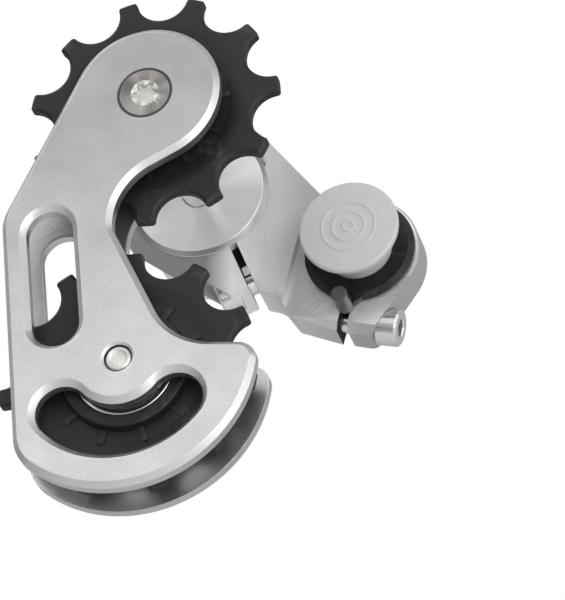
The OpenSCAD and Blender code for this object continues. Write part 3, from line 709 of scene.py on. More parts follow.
PIVOT = Vector((-30.0, 15.4))
SPACING = 52.9
LEAN = 5.0
LOWER = PIVOT + SPACING * Vector((-math.sin(math.radians(LEAN)), -math.cos(math.radians(LEAN))))
HANGER = Vector((0.0, 0.0))
PIVOT_SLIT = -69.0
HANGER_SLIT = -104.5
NEAR_FRONT = -38.4
PLATE_THICK = 2.8
CAGE_GAP = 7.6
NEAR_BACK = NEAR_FRONT + PLATE_THICK
FAR_FRONT = NEAR_BACK + CAGE_GAP
FAR_BACK = FAR_FRONT + PLATE_THICK
PULLEY_MID = (NEAR_BACK + FAR_FRONT) / 2
ARM_FRONT = -0.4
ARM_BACK = 8.6
HANGER_FACE = 1.6


class Finishes:
    """Every material on the object, made once."""

    def __init__(self) -> None:
        """Makes them all."""
        low, top = tuple(LOWER), tuple(PIVOT)
        # Painted light on the plate faces: darker towards the top, lighter towards the bottom.
        self.plate_face = MetalFinish(
            "milled_plate_face", (0.74, 0.738, 0.73), 0.36, Lay.MILLED, low, grain=2.4,
            relief=0.0016, line_pitch=0.5, variation=0.13,
            painted_light_fades=(PaintedLightFade((0.25, 0, -0.97), -50, 8, 0.66, 1.04),)).make()
        self.plate_edge = MetalFinish(
            "machined_plate_edge", (0.70, 0.705, 0.71), 0.33, grain=5.0, relief=0.002).make()
        # Painted shade on the arm: darker towards the hanger end and much darker on the left jaw by
        # the barrel.
        self.arm = MetalFinish(
            "blasted_arm", (0.92, 0.92, 0.92), 0.44, grain=2.6, relief=0.0035, variation=0.1,
            metallic=0.25, painted_light_fades=(PaintedLightFade((0.97, 0, 0.25), -24, -4, 1.0, 0.45),
                                  PaintedLightFade((1, 0, 0), -29, -24, 0.32, 1.0))).make()
        self.arm_cut = MetalFinish(
            "milled_arm_cut", (0.92, 0.915, 0.90), 0.3, Lay.MILLED, (-4.0, -18.0), grain=2.5,
            relief=0.006, line_pitch=1.4, variation=0.12, metallic=0.7).make()
        # Painted shade: a near-black skin on the slits' walls and on the barrel behind them,
        # standing in for the shade deep in the cuts.
        self.slit_painted_shade = PlasticFinish(
            "painted_slit_shade", (0.035, 0.035, 0.035), 0.8, (0.04, 0.04, 0.04), 0.3, specular=0.1).make()
        # Painted reflection: light and dark sectors round the pivot's axis on the turned pieces.
        self.turned = MetalFinish(
            "turned_housing", (0.95, 0.95, 0.955), 0.2, Lay.TURNED, top, relief=0.0006,
            line_pitch=0.1, painted_reflection_wedges=0.25, metallic=0.4).make()
        # Painted sheen: light and dark sectors round the pivot screw's head.
        self.screw = MetalFinish(
            "dark_screw_steel", (0.46, 0.44, 0.42), 0.3, Lay.TURNED, top, relief=0.0015,
            line_pitch=0.15, variation=0.2, painted_reflection_wedges=0.55).make()
        # Painted highlight: the screws' recesses and end dimples get this light colour, standing in
        # for light caught inside them.
        self.socket = MetalFinish(
            "painted_highlight_socket", (0.80, 0.79, 0.77), 0.38, grain=3.0, relief=0.01, variation=0.25,
            metallic=0.7).make()
        self.shade = MetalFinish("shaded_seat", (0.10, 0.10, 0.10), 0.5).make()
        # Painted shade: a darker copy of the turned housing's metal, for the barrel's front bevel.
        self.turned_edge_painted_shade = MetalFinish(
            "painted_shade_housing_edge", (0.42, 0.42, 0.43), 0.3, Lay.TURNED, top, relief=0.0006,
            line_pitch=0.1).make()
        self.bolt_end = MetalFinish(
            "bright_bolt_end", (0.78, 0.76, 0.73), 0.22, Lay.TURNED, low, relief=0.0015,
            line_pitch=0.2).make()
        self.plated = MetalFinish("plated_steel", (0.80, 0.80, 0.79), 0.2, relief=0.001).make()
        self.bearing = MetalFinish(
            "ground_bearing_steel", (0.72, 0.73, 0.75), 0.18, relief=0.0008).make()
        self.spring = MetalFinish("spring_wire", (0.32, 0.32, 0.34), 0.4).make()
        self.bronze = MetalFinish("sintered_bronze", (0.55, 0.40, 0.18), 0.45, grain=5.0).make()
        self.pulley = PlasticFinish(
            "pulley_plastic", (0.0105, 0.0105, 0.011), 0.5, (0.06, 0.06, 0.06), 0.45,
            specular=0.35).make()
        self.anodised = PlasticFinish(
            "black_anodised", (0.005, 0.005, 0.006), 0.36, (0.1, 0.1, 0.1), grain=8.0,
            relief=0.001, specular=0.35).make()
        self.pin = PlasticFinish(
            "oiled_pin_steel", (0.055, 0.052, 0.052), 0.3, wear=0.2, grain=5.0,
            relief=0.001).make()
        self.rubber = PlasticFinish("seal_rubber", (0.010, 0.010, 0.010), 0.5, wear=0.0).make()
        self.cap = PlasticFinish(
            "milky_cap_plastic", (0.50, 0.50, 0.52), 0.26, (0.8, 0.8, 0.82), 0.0,
            relief=0.0004).make()


@dataclass(frozen=True)
class Hole:
    """A round hole in a plate; its profile of (radius, y) runs from the outer face inwards."""

    centre: Vector
    profile: Section
    coat: Coat


@dataclass
class Cage:
    """The two plates and what holds them."""

    finishes: Finishes
    boss_r: float = 13.65
    shoulder_dir: float = 153.1
    side_dir: float = 183.9
    side_dist: float = 27.9
    corner_r: float = 8.0
    tail_r: float = 24.7
    tip_r: float = 3.5
    finger_dir: float = 82.0
    finger_height: float = 3.4
    waist_turn: float = -65.4
    waist_flat: float = 5.2
    waist_r: float = 12.04
    waist_low_r: float = 4.9
    slant_dir: float = 24.3
    crook_r: float = 13.0
    kidney_r: float = 13.45
    kidney_half: float = 4.85
    kidney_span: float = 49.0
    slot_half: float = 4.3
    slot_top: tuple[float, float] = (-17.6, -25.8)
    slot_bottom: tuple[float, float] = (-16.2, -44.2)
    chamfer: float = 0.95
    window_chamfer: float = 1.05
    crisp: float = 0.12
    screw_r: float = 2.5
    head_r: float = 4.69
    head_gap: float = 0.12
    shaft_seat_r: float = 5.03
    bolt_hole_r: float = 2.55
    bolt_hole_break: float = 0.4
    pivot_screw_past: float = 4.5
    bolt_end_below: float = 0.35
    screw_tip: float = 2.6
    thread_cut: float = 0.2
    dimple_r: float = 1.3
    recess_r: float = 2.4
    recess_depth: float = 1.0

    def plate_outline(self) -> Outline:
        """The outer edge shared by both plates."""
        lower = LOWER - PIVOT
        finger_dist = heading(self.finger_dir).dot(lower) + self.finger_height
        top_corner = meet(self.shoulder_dir, self.boss_r - self.corner_r,
                          self.side_dir, self.side_dist - self.corner_r)
        side_depth = self.side_dist - self.corner_r - heading(self.side_dir).dot(lower)
        bottom_corner = nested(lower, self.tail_r - self.corner_r, self.side_dir, side_depth, 1)
        finger_tip = nested(lower, self.tail_r - self.tip_r, self.finger_dir,
                            self.finger_height - self.tip_r, -1)
        waist = (self.boss_r + self.waist_r) * heading(self.waist_turn)
        waist -= self.waist_flat * square_to(self.waist_turn)
        waist_low = waist - Vector((self.waist_r - self.waist_low_r, 0))
        slant_dist = heading(self.slant_dir).dot(waist_low) - self.waist_low_r
        crook = meet(self.slant_dir, slant_dist + self.crook_r,
                     self.finger_dir, finger_dist + self.crook_r)
        tail_start = above(bearing(bottom_corner - lower), self.side_dir)
        tail_end = above(bearing(finger_tip - lower), tail_start)
        arcs = (
            Arc(Vector((0, 0)), self.boss_r, self.waist_turn, self.shoulder_dir),
            Arc(top_corner, self.corner_r, self.shoulder_dir, self.side_dir),
            Arc(bottom_corner, self.corner_r, self.side_dir, tail_start),
            Arc(lower, self.tail_r, tail_start, tail_end),
            Arc(finger_tip, self.tip_r, tail_end, self.finger_dir + 360),
            Arc(crook, -self.crook_r, self.finger_dir, self.slant_dir),
            Arc(waist_low, -self.waist_low_r, self.slant_dir, 0),
            Arc(waist, -self.waist_r, 0, self.waist_turn),
        )
        return Outline(tuple(Arc(a.centre + PIVOT, a.radius, a.start, a.end) for a in arcs))

    def kidney_outline(self) -> Outline:
        """The window round the lower axis."""
        left, right = -90 - self.kidney_span, -90 + self.kidney_span
        return Outline((
            Arc(LOWER, self.kidney_r + self.kidney_half, left, right),
            Arc(LOWER + self.kidney_r * heading(right), self.kidney_half, right, right + 180),
            Arc(LOWER, self.kidney_half - self.kidney_r, right + 180, left + 180),
            Arc(LOWER + self.kidney_r * heading(left), self.kidney_half, left + 180, left + 360),
        ))

    def slot_outline(self) -> Outline:
        """The long window beside the waist."""
        top, bottom = PIVOT + Vector(self.slot_top), PIVOT + Vector(self.slot_bottom)
        along = bearing(top - bottom)
        return Outline((
            Arc(top, self.slot_half, along - 90, along + 90),
            Arc(bottom, self.slot_half, along + 90, along + 270),
        ))

    def countersink(self, centre: Vector, outer: float, inner: float) -> Hole:
        """A countersunk screw's hole.

        Args:
            centre: The screw's axis.
            outer: Y of the face that its head is flush with.
            inner: Y of the other face.

        Returns:
            The hole.
        """
        sink = math.copysign(self.head_r - self.screw_r, inner - outer)
        wide, narrow = self.head_r + self.head_gap, self.screw_r + self.head_gap
        return Hole(centre, [(wide, outer), (narrow, outer + sink), (narrow, inner)], Coat.DARK)

    def plate(self, name: str, node: str, outer: float, inner: float,
              holes: Sequence[Hole]) -> None:
        """Builds one plate.

        Args:
            name: The piece's name.
            node: The CAD node that it stands for.
            outer: Y of the chamfered face.
            inner: Y of the plain face.
            holes: Its round holes.
        """
        work = Workpiece()
        way = 1 if inner > outer else -1
        land, round_r = 0.35, 0.06
        ends = []
        for outline, width, sense in (
            (self.plate_outline(), self.chamfer, 1),
            (self.kidney_outline(), self.window_chamfer, -1),
            (self.slot_outline(), self.window_chamfer, -1),
        ):
            section = soften([
                (outer, sense * (width + 3 * self.crisp)), (outer, sense * width),
                (outer + way * width, 0.0), (inner, 0.0), (inner, sense * 4 * self.crisp),
            ], self.crisp, 2)
            ends.append(work.walls(outline, section, cuts=range(1, len(section) - 2)))
        for hole in holes:
            (first_r, first_y), (last_r, last_y) = hole.profile[0], hole.profile[-1]
            profile = [(first_r + land, first_y), *hole.profile, (last_r + land, last_y)]
            ends.append(work.tube(hole.centre, soften(profile, round_r, 2), hole.coat))
        for rings in zip(*ends):
            work.fill([edge for ring in rings for edge in ring])
        finishes = self.finishes
        work.finish(name, "cage",
                    [finishes.plate_face, finishes.plate_edge, finishes.shade], node)

    def build(self) -> None:
        """Makes both plates and the two screws."""
        edge = self.bolt_hole_break
        self.plate("near_plate", "near_cage_plate", NEAR_FRONT, NEAR_BACK, [
            self.countersink(PIVOT, NEAR_FRONT, NEAR_BACK),
            Hole(LOWER, [(self.bolt_hole_r + edge, NEAR_FRONT),
                         (self.bolt_hole_r, NEAR_FRONT + edge),
                         (self.bolt_hole_r, NEAR_BACK)], Coat.CUT),
        ])
        self.plate("far_plate", "far_cage_plate", FAR_BACK, FAR_FRONT, [
            Hole(PIVOT, [(self.shaft_seat_r, FAR_BACK), (self.shaft_seat_r, FAR_FRONT)], Coat.CUT),
            self.countersink(LOWER, FAR_BACK, FAR_FRONT),
        ])
        self.screw("pivot_screw", "guide_pulley_screw", PIVOT, NEAR_FRONT,
                   FAR_BACK + self.pivot_screw_past, self.finishes.screw)
        self.screw("lower_bolt", "tension_pulley_bolt", LOWER, FAR_BACK,
                   NEAR_FRONT + self.bolt_end_below, self.finishes.bolt_end)

    def recess_outline(self, centre: Vector) -> Outline:
        """A six-lobe recess round a screw's axis, in the proportions of a hexalobular drive."""
        lobe, hollow = self.recess_r * 0.222, self.recess_r * 0.276
        gap, step = 30.0, 18.0
        lobe_centre = self.recess_r - lobe
        hollow_centre = lobe_centre * math.cos(math.radians(gap)) + math.sqrt(
            (lobe + hollow) ** 2 - (lobe_centre * math.sin(math.radians(gap))) ** 2)
        arcs = []
        for k in range(6):
            angle = 2 * gap * k
            before, dent = (centre + hollow_centre * heading(angle + turn) for turn in (-gap, gap))
            tip, following = (centre + lobe_centre * heading(angle + turn) for turn in (0, 2 * gap))
            start = above(bearing(before - tip), angle - 180)
            end = above(bearing(dent - tip), start)
            stop = above(bearing(dent - following), end - 360)
            arcs += [Arc(tip, lobe, start, end), Arc(dent, -hollow, end, stop)]
        return Outline(tuple(arcs), step)

    def screw(self, name: str, node: str, centre: Vector, head: float, end: float,
              material: Material) -> None:
        """Builds a countersunk screw with a six-lobe recess and a dimpled end.

        Args:
            name: The piece's name.
            node: The CAD node that it stands for.
            centre: Its axis in X and Z.
            head: Y of its head's face.
            end: Y of its far end.
            material: Its finish.
        """
        work = Workpiece()
        way = 1 if end > head else -1
        head_r, screw_r, depth = self.head_r, self.screw_r, self.recess_depth
        tip_r = screw_r - self.thread_cut
        profile = soften([
            (head_r - 0.5, head), (head_r, head), (head_r - 0.05, head + way * 0.12),
            (screw_r, head + way * (head_r - screw_r)), (screw_r, end - way * self.screw_tip),
            (tip_r, end - way * (self.screw_tip - self.thread_cut)), (tip_r, end - way * 0.25),
            (tip_r - 0.3, end), (self.dimple_r + 0.4, end), (self.dimple_r, end - way * 0.3),
            (0.4, end - way * 0.4),
        ], 0.1)
        dimple = range(len(profile) - 6, len(profile))
        # The end dimple and the recess get the painted highlight colour.
        first, last = work.tube(centre, profile, cuts=dimple)
        work.fill(last, Coat.CUT)
        lip = work.ring(circle(centre, self.recess_r + 0.2), head)
        mouth, floor = work.walls(self.recess_outline(centre), soften([
            (head + way * 0.3, 0.0), (head + way * depth, 0.08), (head + way * (depth + 0.1), 0.2),
        ], 0.05, 2), Coat.CUT)
        work.fill(first + lip)
        work.bridge(lip, mouth, Coat.CUT)
        work.close(floor, Coat.CUT)
        work.finish(name, "cage", [material, self.finishes.socket], node)


@dataclass
class Pulley:
    """One toothed pulley with its sealed bearing."""

    finishes: Finishes
    name: str
    body: str
    centre: Vector
    phase: float
    teeth: int = 11
    chain_pitch: float = 12.7
    hollow_r: float = 4.88
    hollow_lift: float = 0.95
    tip_drop: float = -0.15
    corner_r: float = 0.6
    thick: float = 2.2
    tooth_chamfer: float = 0.35
    tooth_inset: float = 0.5
    rim_r: float = 17.0
    rim_foot_r: float = 13.9
    hub_r: float = 11.3
    hub_width: float = 5.0
    web_thick: float = 1.2
    rib_thick: float = 1.0
    rib_low: float = 0.2
    rib_reach: float = 0.4
    bearing_r: float = 9.1
    race_half: float = 2.4
    race_wall: float = 1.2
    bore_r: float = 5.0

    def tooth_outline(self) -> Outline:
        """The toothed edge, with its tips' corners rounded."""
        pitch = 360 / self.teeth
        reach = self.chain_pitch / 2 / math.sin(math.radians(pitch / 2)) + self.hollow_lift
        tip_r = reach + self.tip_drop
        inner = tip_r - self.corner_r
        spread = math.degrees(math.acos(
            (inner ** 2 + reach ** 2 - (self.hollow_r + self.corner_r) ** 2) / (2 * inner * reach)))
        arcs = []
        for k in range(self.teeth):
            mid = 90 + self.phase + (k + 0.5) * pitch
            hollow = self.centre + reach * heading(mid)
            before = self.centre + inner * heading(mid - spread)
            after = self.centre + inner * heading(mid + spread)
            enter = above(bearing(hollow - before), mid - spread)
            leave = above(bearing(hollow - after), enter - 360)
            arcs += [
                Arc(before, self.corner_r, mid - spread, enter),
                Arc(hollow, -self.hollow_r, enter, leave),
                Arc(after, self.corner_r, leave, mid + spread),
                Arc(self.centre, tip_r, mid + spread, mid + pitch - spread),
            ]
        return Outline(tuple(arcs), FINE_STEP)

    def build(self) -> None:
        """Makes the toothed wheel and its bearing."""
        front, back = PULLEY_MID - self.thick / 2, PULLEY_MID + self.thick / 2
        web, hub = PULLEY_MID - self.web_thick / 2, PULLEY_MID - self.hub_width / 2
        lip = self.tooth_inset + 0.07
        work = Workpiece()
        first, last = work.walls(self.tooth_outline(), soften([
            (front, lip), (front, self.tooth_inset), (front + self.tooth_chamfer, 0.0),
            (back - self.tooth_chamfer, 0.0), (back, self.tooth_inset), (back, lip),
        ], 0.06, 2))
        rim = soften([
            (self.rim_r + 0.3, front), (self.rim_r, front), (self.rim_foot_r, web),
            (self.hub_r + 0.3, web), (self.hub_r, hub + 0.2), (self.hub_r - 0.25, hub),
            (self.bearing_r + 0.25, hub), (self.bearing_r, hub + 0.25),
            (self.bearing_r, PULLEY_MID),
        ], 0.15, 2)
        mirrored = [(r, 2 * PULLEY_MID - y) for r, y in rim]
        near, far = (work.tube(self.centre, side, step=RIM_STEP)[0] for side in (rim, mirrored))
        work.fill(first + near)
        work.fill(last + far)
        middle = (self.rim_foot_r + self.hub_r) / 2
        length = self.rim_foot_r - self.hub_r + 2 * self.rib_reach
        for k in range(self.teeth):
            angle = 90 + self.phase + k * 360 / self.teeth
            spot = self.centre + middle * heading(angle)
            turn = Matrix.Rotation(math.radians(-angle), 4, "Y")
            work.block(Vector((length, self.thick - 2 * self.rib_low, self.rib_thick)),
                       Matrix.Translation((spot.x, PULLEY_MID, spot.y)) @ turn)
        work.finish(f"{self.name}_wheel", self.body, [self.finishes.pulley],
                    f"{self.name}_pulley")
        self.bearing()

    def bearing(self) -> None:
        """Makes the races and the seals between them."""
        wall, half = self.race_wall, self.race_half
        for part, body, inner, outer in (
            ("outer_race", self.body, self.bearing_r - wall, self.bearing_r - 0.02),
            ("inner_race", "cage", self.bore_r, self.bore_r + wall),
        ):
            profile = soften([
                (inner, PULLEY_MID), (inner, PULLEY_MID - half), (outer, PULLEY_MID - half),
                (outer, PULLEY_MID + half), (inner, PULLEY_MID + half), (inner, PULLEY_MID),
            ], 0.22)
            turned_piece(f"{self.name}_{part}", body, self.finishes.bearing,
                         f"{self.name}_bearing_{part}", self.centre, profile)
        work = Workpiece()
        inner, outer = self.bore_r + wall + 0.05, self.bearing_r - wall - 0.01
        for way in (-1, 1):
            face = PULLEY_MID + way * (half - 0.2)
            sunk, back = face - way * 0.12, face - way * 0.25
            work.turn(self.centre, soften([
                (inner, back), (inner, face), (inner + 0.3, face), (inner + 0.4, sunk),
                (outer - 0.3, sunk), (outer - 0.2, face), (outer, face), (outer, back),
                (inner, back),
            ], 0.04, 2))
        work.finish(f"{self.name}_seals", self.body, [self.finishes.rubber],
                    f"{self.name}_bearing_seals")
        dress(self.finishes.bearing, f"{self.name}_bearing_balls")
        dress(self.finishes.turned, f"{self.name}_spacer_bushes")


@dataclass
class SpringUnit:
    """The barrel that holds the cage's return spring."""

    finishes: Finishes
    radius: float = 13.2
    front: float = -1.4
    back: float = 17.6
    wall: float = 1.8
    edge: float = 0.8
    shaft_r: float = 3.0
    shaft_bore_r: float = 2.52
    shaft_seat_r: float = 4.98
    shaft_collar_r: float = 6.0
    bush_r: float = 5.55
    nose_thick: float = 1.0
    cavity_front: float = 3.5
    grip: tuple[float, float] = (ARM_FRONT + 1.6, ARM_BACK - 0.26)
    grip_depth: float = 0.04
    slit_dir: float = -61.3
    slit_spread: float = 6.0
    plug_r: float = 7.48
    dish_r: float = 6.2
    dimple_r: float = 1.6

    @property
    def cavity_r(self) -> float:
        """The spring's room."""
        return self.radius - self.wall

    def barrel(self) -> None:
        """Makes the barrel, with painted shade on its front bevel and a strip of painted shade where
        the arm's slit opens on it.
        """
        work = Workpiece()
        radius, edge, depth, cavity = self.radius, self.edge, self.grip_depth, self.cavity_r
        nose, floor = self.front + self.nose_thick, self.front + self.cavity_front
        hole, (near, far) = self.shaft_r + 0.1, self.grip
        work.turn(PIVOT, soften([
            (self.bush_r, floor), (self.bush_r, nose), (hole, nose), (hole, self.front + 0.15),
            (self.shaft_r + 0.3, self.front), (radius - edge, self.front),
            (radius, self.front + edge), (radius, near), (radius - depth, near + depth),
            (radius - depth, far - depth), (radius, far), (radius, self.back - edge),
            (radius - edge, self.back), (cavity, self.back), (cavity, floor), (self.bush_r, floor),
        ], 0.35, 4), steps=128)
        for face in work.mesh.faces:
            spot = face.calc_center_median()
            step = Vector((spot.x, spot.z)) - PIVOT
            aside = abs(bearing(step) - self.slit_dir)
            # The front bevel gets painted shade.
            if spot.y < self.front + edge - 0.05 and step.length > radius - edge + 0.05:
                face.material_index = Coat.CUT
            # Painted shade on the barrel where the arm's slit opens on it.
            if step.length > radius - 0.06 and near < spot.y < far and aside < self.slit_spread:
                face.material_index = Coat.DARK
        finishes = self.finishes
        work.finish("spring_barrel", "spring_unit",
                    [finishes.turned, finishes.turned_edge_painted_shade, finishes.slit_painted_shade], "spring_housing")

    def build(self) -> None:
        """Makes the turned pieces; the inner ones keep their CAD shapes."""
        self.barrel()
        bore, seat, outer = self.bush_r - 0.03, self.plug_r + 0.02, self.cavity_r - 0.02
        lip, pocket, wall = self.back + 0.5, self.back - 3.0, self.back - 5.5
        profile = soften([
            (bore, wall), (bore, pocket), (seat, pocket), (seat, lip - 0.15), (seat + 0.2, lip),
            (outer - 0.28, lip), (outer, lip - 0.3), (outer, wall), (bore, wall),
        ], 0.12)
        turned_piece("barrel_rear_cap", "spring_unit", self.finishes.turned,
                     "housing_rear_cap", PIVOT, profile)
        plug_r = self.plug_r
        profile = soften([
            (0.0, lip - 1.0), (plug_r, lip - 1.0), (plug_r, lip), (self.dish_r, lip),
            (self.dish_r - 0.3, lip - 0.3), (self.dimple_r, lip - 0.3),
            (self.dimple_r - 0.3, lip - 0.45), (0.0, lip - 0.45),
        ], 0.15)
        turned_piece("barrel_end_plug", "spring_unit", self.finishes.anodised,
                     "housing_end_plug", PIVOT, profile)
        end, collar = self.back - 0.8, FAR_BACK + 5.6
        seat_r, collar_r = self.shaft_seat_r, self.shaft_collar_r
        profile = soften([
            (self.shaft_bore_r, FAR_FRONT), (seat_r - 0.08, FAR_FRONT),
            (seat_r, FAR_FRONT + 0.2), (seat_r, FAR_BACK), (collar_r, FAR_BACK),
            (collar_r, collar - 0.4), (collar_r - 0.4, collar), (self.shaft_r, collar),
            (self.shaft_r, end - 0.3), (self.shaft_r - 0.4, end), (0.0, end),
        ], 0.12)
        turned_piece("cage_shaft", "cage", self.finishes.turned,
                     "cage_pivot_shaft", PIVOT, profile)
        dress(self.finishes.plated, "pivot_thrust_washer", "pivot_circlip")
        dress(self.finishes.bronze, "pivot_bushes")
        dress(self.finishes.spring, "cage_return_spring")


@dataclass(frozen=True)
class Clamp:
    """A slit clamp of the arm and the screw across it.

    Attributes:
        name: The screw's name.
        node: The CAD node that the screw stands for.
        centre: The clamp's axis in X and Z.
        slit: Direction of the slit as seen from the axis, in degrees.
        shift: How far the slit's middle lies beside the axis.
        half: Half of the slit's width.
        start: Distance from the axis at which the slit starts.
        seat: The screw head's seat along the slit, in Y, and across the slit.
        way: 1 or -1, the way the screw points across the slit.
        length: Its length under the head.
    """

    name: str
    node: str
    centre: Vector
    slit: float
    shift: float
    half: float
    start: float
    seat: tuple[float, float, float]
    way: int
    length: float

    def is_cut(self, spot: Vector, normal: Vector) -> bool:
        """Whether a face of the arm is a wall of the slit.

        Args:
            spot: The face's middle.
            normal: Its normal.

        Returns:
            True on the slit's two walls.
        """
        side = square_to(self.slit)
        step = Vector((spot.x, spot.z)) - self.centre
        side_on = abs(normal.x * side.x + normal.z * side.y) > 0.9
        return (side_on and abs(step.dot(side) - self.shift) < self.half + 0.3
                and step.dot(heading(self.slit)) > self.start - 1)


@dataclass
class Arm:
    """The machined arm that clamps the barrel and the hanger collar."""

    finishes: Finishes
    clamps: tuple[Clamp, ...] = (
        Clamp("barrel_clamp_screw", "cage_clamp_bolt", PIVOT, PIVOT_SLIT, 1.76, 0.76, 13.3,
              (20.0, 4.1, -0.9), 1, 12.0),
        Clamp("hanger_clamp_screw", "hanger_clamp_bolt", HANGER, HANGER_SLIT, 0.0, 0.96, 9.6,
              (12.9, 5.35, 6.05), -1, 10.0),
    )
    edge: float = 0.15
    underside_from: float = -22.0
    underside_r: float = 1.1
    head_r: float = 3.5
    head_len: float = 4.0
    screw_r: float = 2.0
    hexagon_half: float = 1.5
    hexagon_round: float = 0.12

    def merged_copy(self, node: str) -> Mesh:
        """A clean copy of a CAD node: welded, with flat regions joined."""
        weld, flat, shortest = 0.002, math.radians(2), 0.07
        mesh = bmesh.new()
        mesh.from_mesh(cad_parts[node].data)
        bmesh.ops.scale(mesh, vec=(1 / METRES,) * 3, verts=mesh.verts)
        bmesh.ops.remove_doubles(mesh, verts=mesh.verts, dist=weld)
        bmesh.ops.dissolve_limit(mesh, angle_limit=flat, verts=mesh.verts, edges=mesh.edges,
                                 use_dissolve_boundaries=False)
        bmesh.ops.dissolve_degenerate(mesh, dist=shortest, edges=mesh.edges)
        return mesh

    def round_underside(self, mesh: Mesh) -> None:
        """Rounds the front edge of the arm's underside, between the two clamps."""
        edges = []
        for edge in mesh.edges:
            ends = [v.co for v in edge.verts]
            flat = all(abs(p.y - ARM_FRONT) < 0.02 for p in ends) and len(edge.link_faces) == 2
            under = flat and min(f.normal.z for f in edge.link_faces) < -0.35
            if under and all(self.underside_from < p.x < 0 for p in ends):
                edges.append(edge)
        bmesh.ops.bevel(mesh, geom=edges, offset=self.underside_r, offset_type="OFFSET",
                        segments=4, profile=0.5, affect="EDGES", material=-1, clamp_overlap=False)
        LOG.info("underside: %d edges rounded", len(edges))

    def paint(self, mesh: Mesh) -> None:
        """Marks the faces of the milled pocket, and gives the walls of the two slits painted shade.
        """
        for face in mesh.faces:
            spot = face.calc_center_median()
            if face.normal.y < -0.9 and abs(spot.y - HANGER_FACE) < 0.05:
                face.material_index = Coat.CUT
            # The slits' walls get painted shade.
            if any(clamp.is_cut(spot, face.normal) for clamp in self.clamps):
                face.material_index = Coat.DARK

    def build(self) -> None:
        """Makes the arm and its two clamp screws."""
        work = Workpiece(self.merged_copy("arm_body"))
        work.mesh.normal_update()
        self.round_underside(work.mesh)
        work.mesh.normal_update()
        self.paint(work.mesh)
        finishes = self.finishes
        work.finish("machined_arm", "arm",
                    [finishes.arm, finishes.arm_cut, finishes.slit_painted_shade], "arm_body", self.edge)
        for clamp in self.clamps:
            self.screw(clamp)

    def screw(self, clamp: Clamp) -> None:
        """Builds a clamp's socket-head screw, which lies across its slit."""
        work = Workpiece()
        head_r, screw_r, head, end = self.head_r, self.screw_r, -self.head_len, clamp.length
        origin = Vector((0.0, 0.0))
        first, last = work.tube(origin, soften([
            (head_r - 0.9, head), (head_r - 0.4, head), (head_r, head + 0.4), (head_r, 0.0),
            (screw_r, 0.0), (screw_r, end - 0.3), (screw_r - 0.3, end), (screw_r - 0.5, end),
        ], 0.15), step=6.0)
        work.fill(last)
        small = self.hexagon_round
        corner = self.hexagon_half / math.cos(math.radians(30)) - small
        hexagon = Outline(tuple(
            Arc(corner * heading(60 * k), small, 60 * k - 30, 60 * k + 30) for k in range(6)), 30.0)
        mouth, floor = work.walls(hexagon, soften([
            (head, -0.3), (head, -0.2), (head + 0.25, 0.0), (head + 2.0, 0.0), (head + 2.2, 0.3),
        ], 0.05, 2))
        work.fill(first + mouth)
        work.fill(floor)
        along, y, across = clamp.seat
        spot = clamp.centre + along * heading(clamp.slit) + across * square_to(clamp.slit)
        lie = math.radians(90 - (clamp.slit + 90 * clamp.way))
        work.move(Matrix.Translation((spot.x, y, spot.y)) @ Matrix.Rotation(lie, 4, "Y")
                  @ Matrix.Rotation(math.radians(90), 4, "X"))
        work.finish(clamp.name, "arm", [self.finishes.plated], clamp.node)


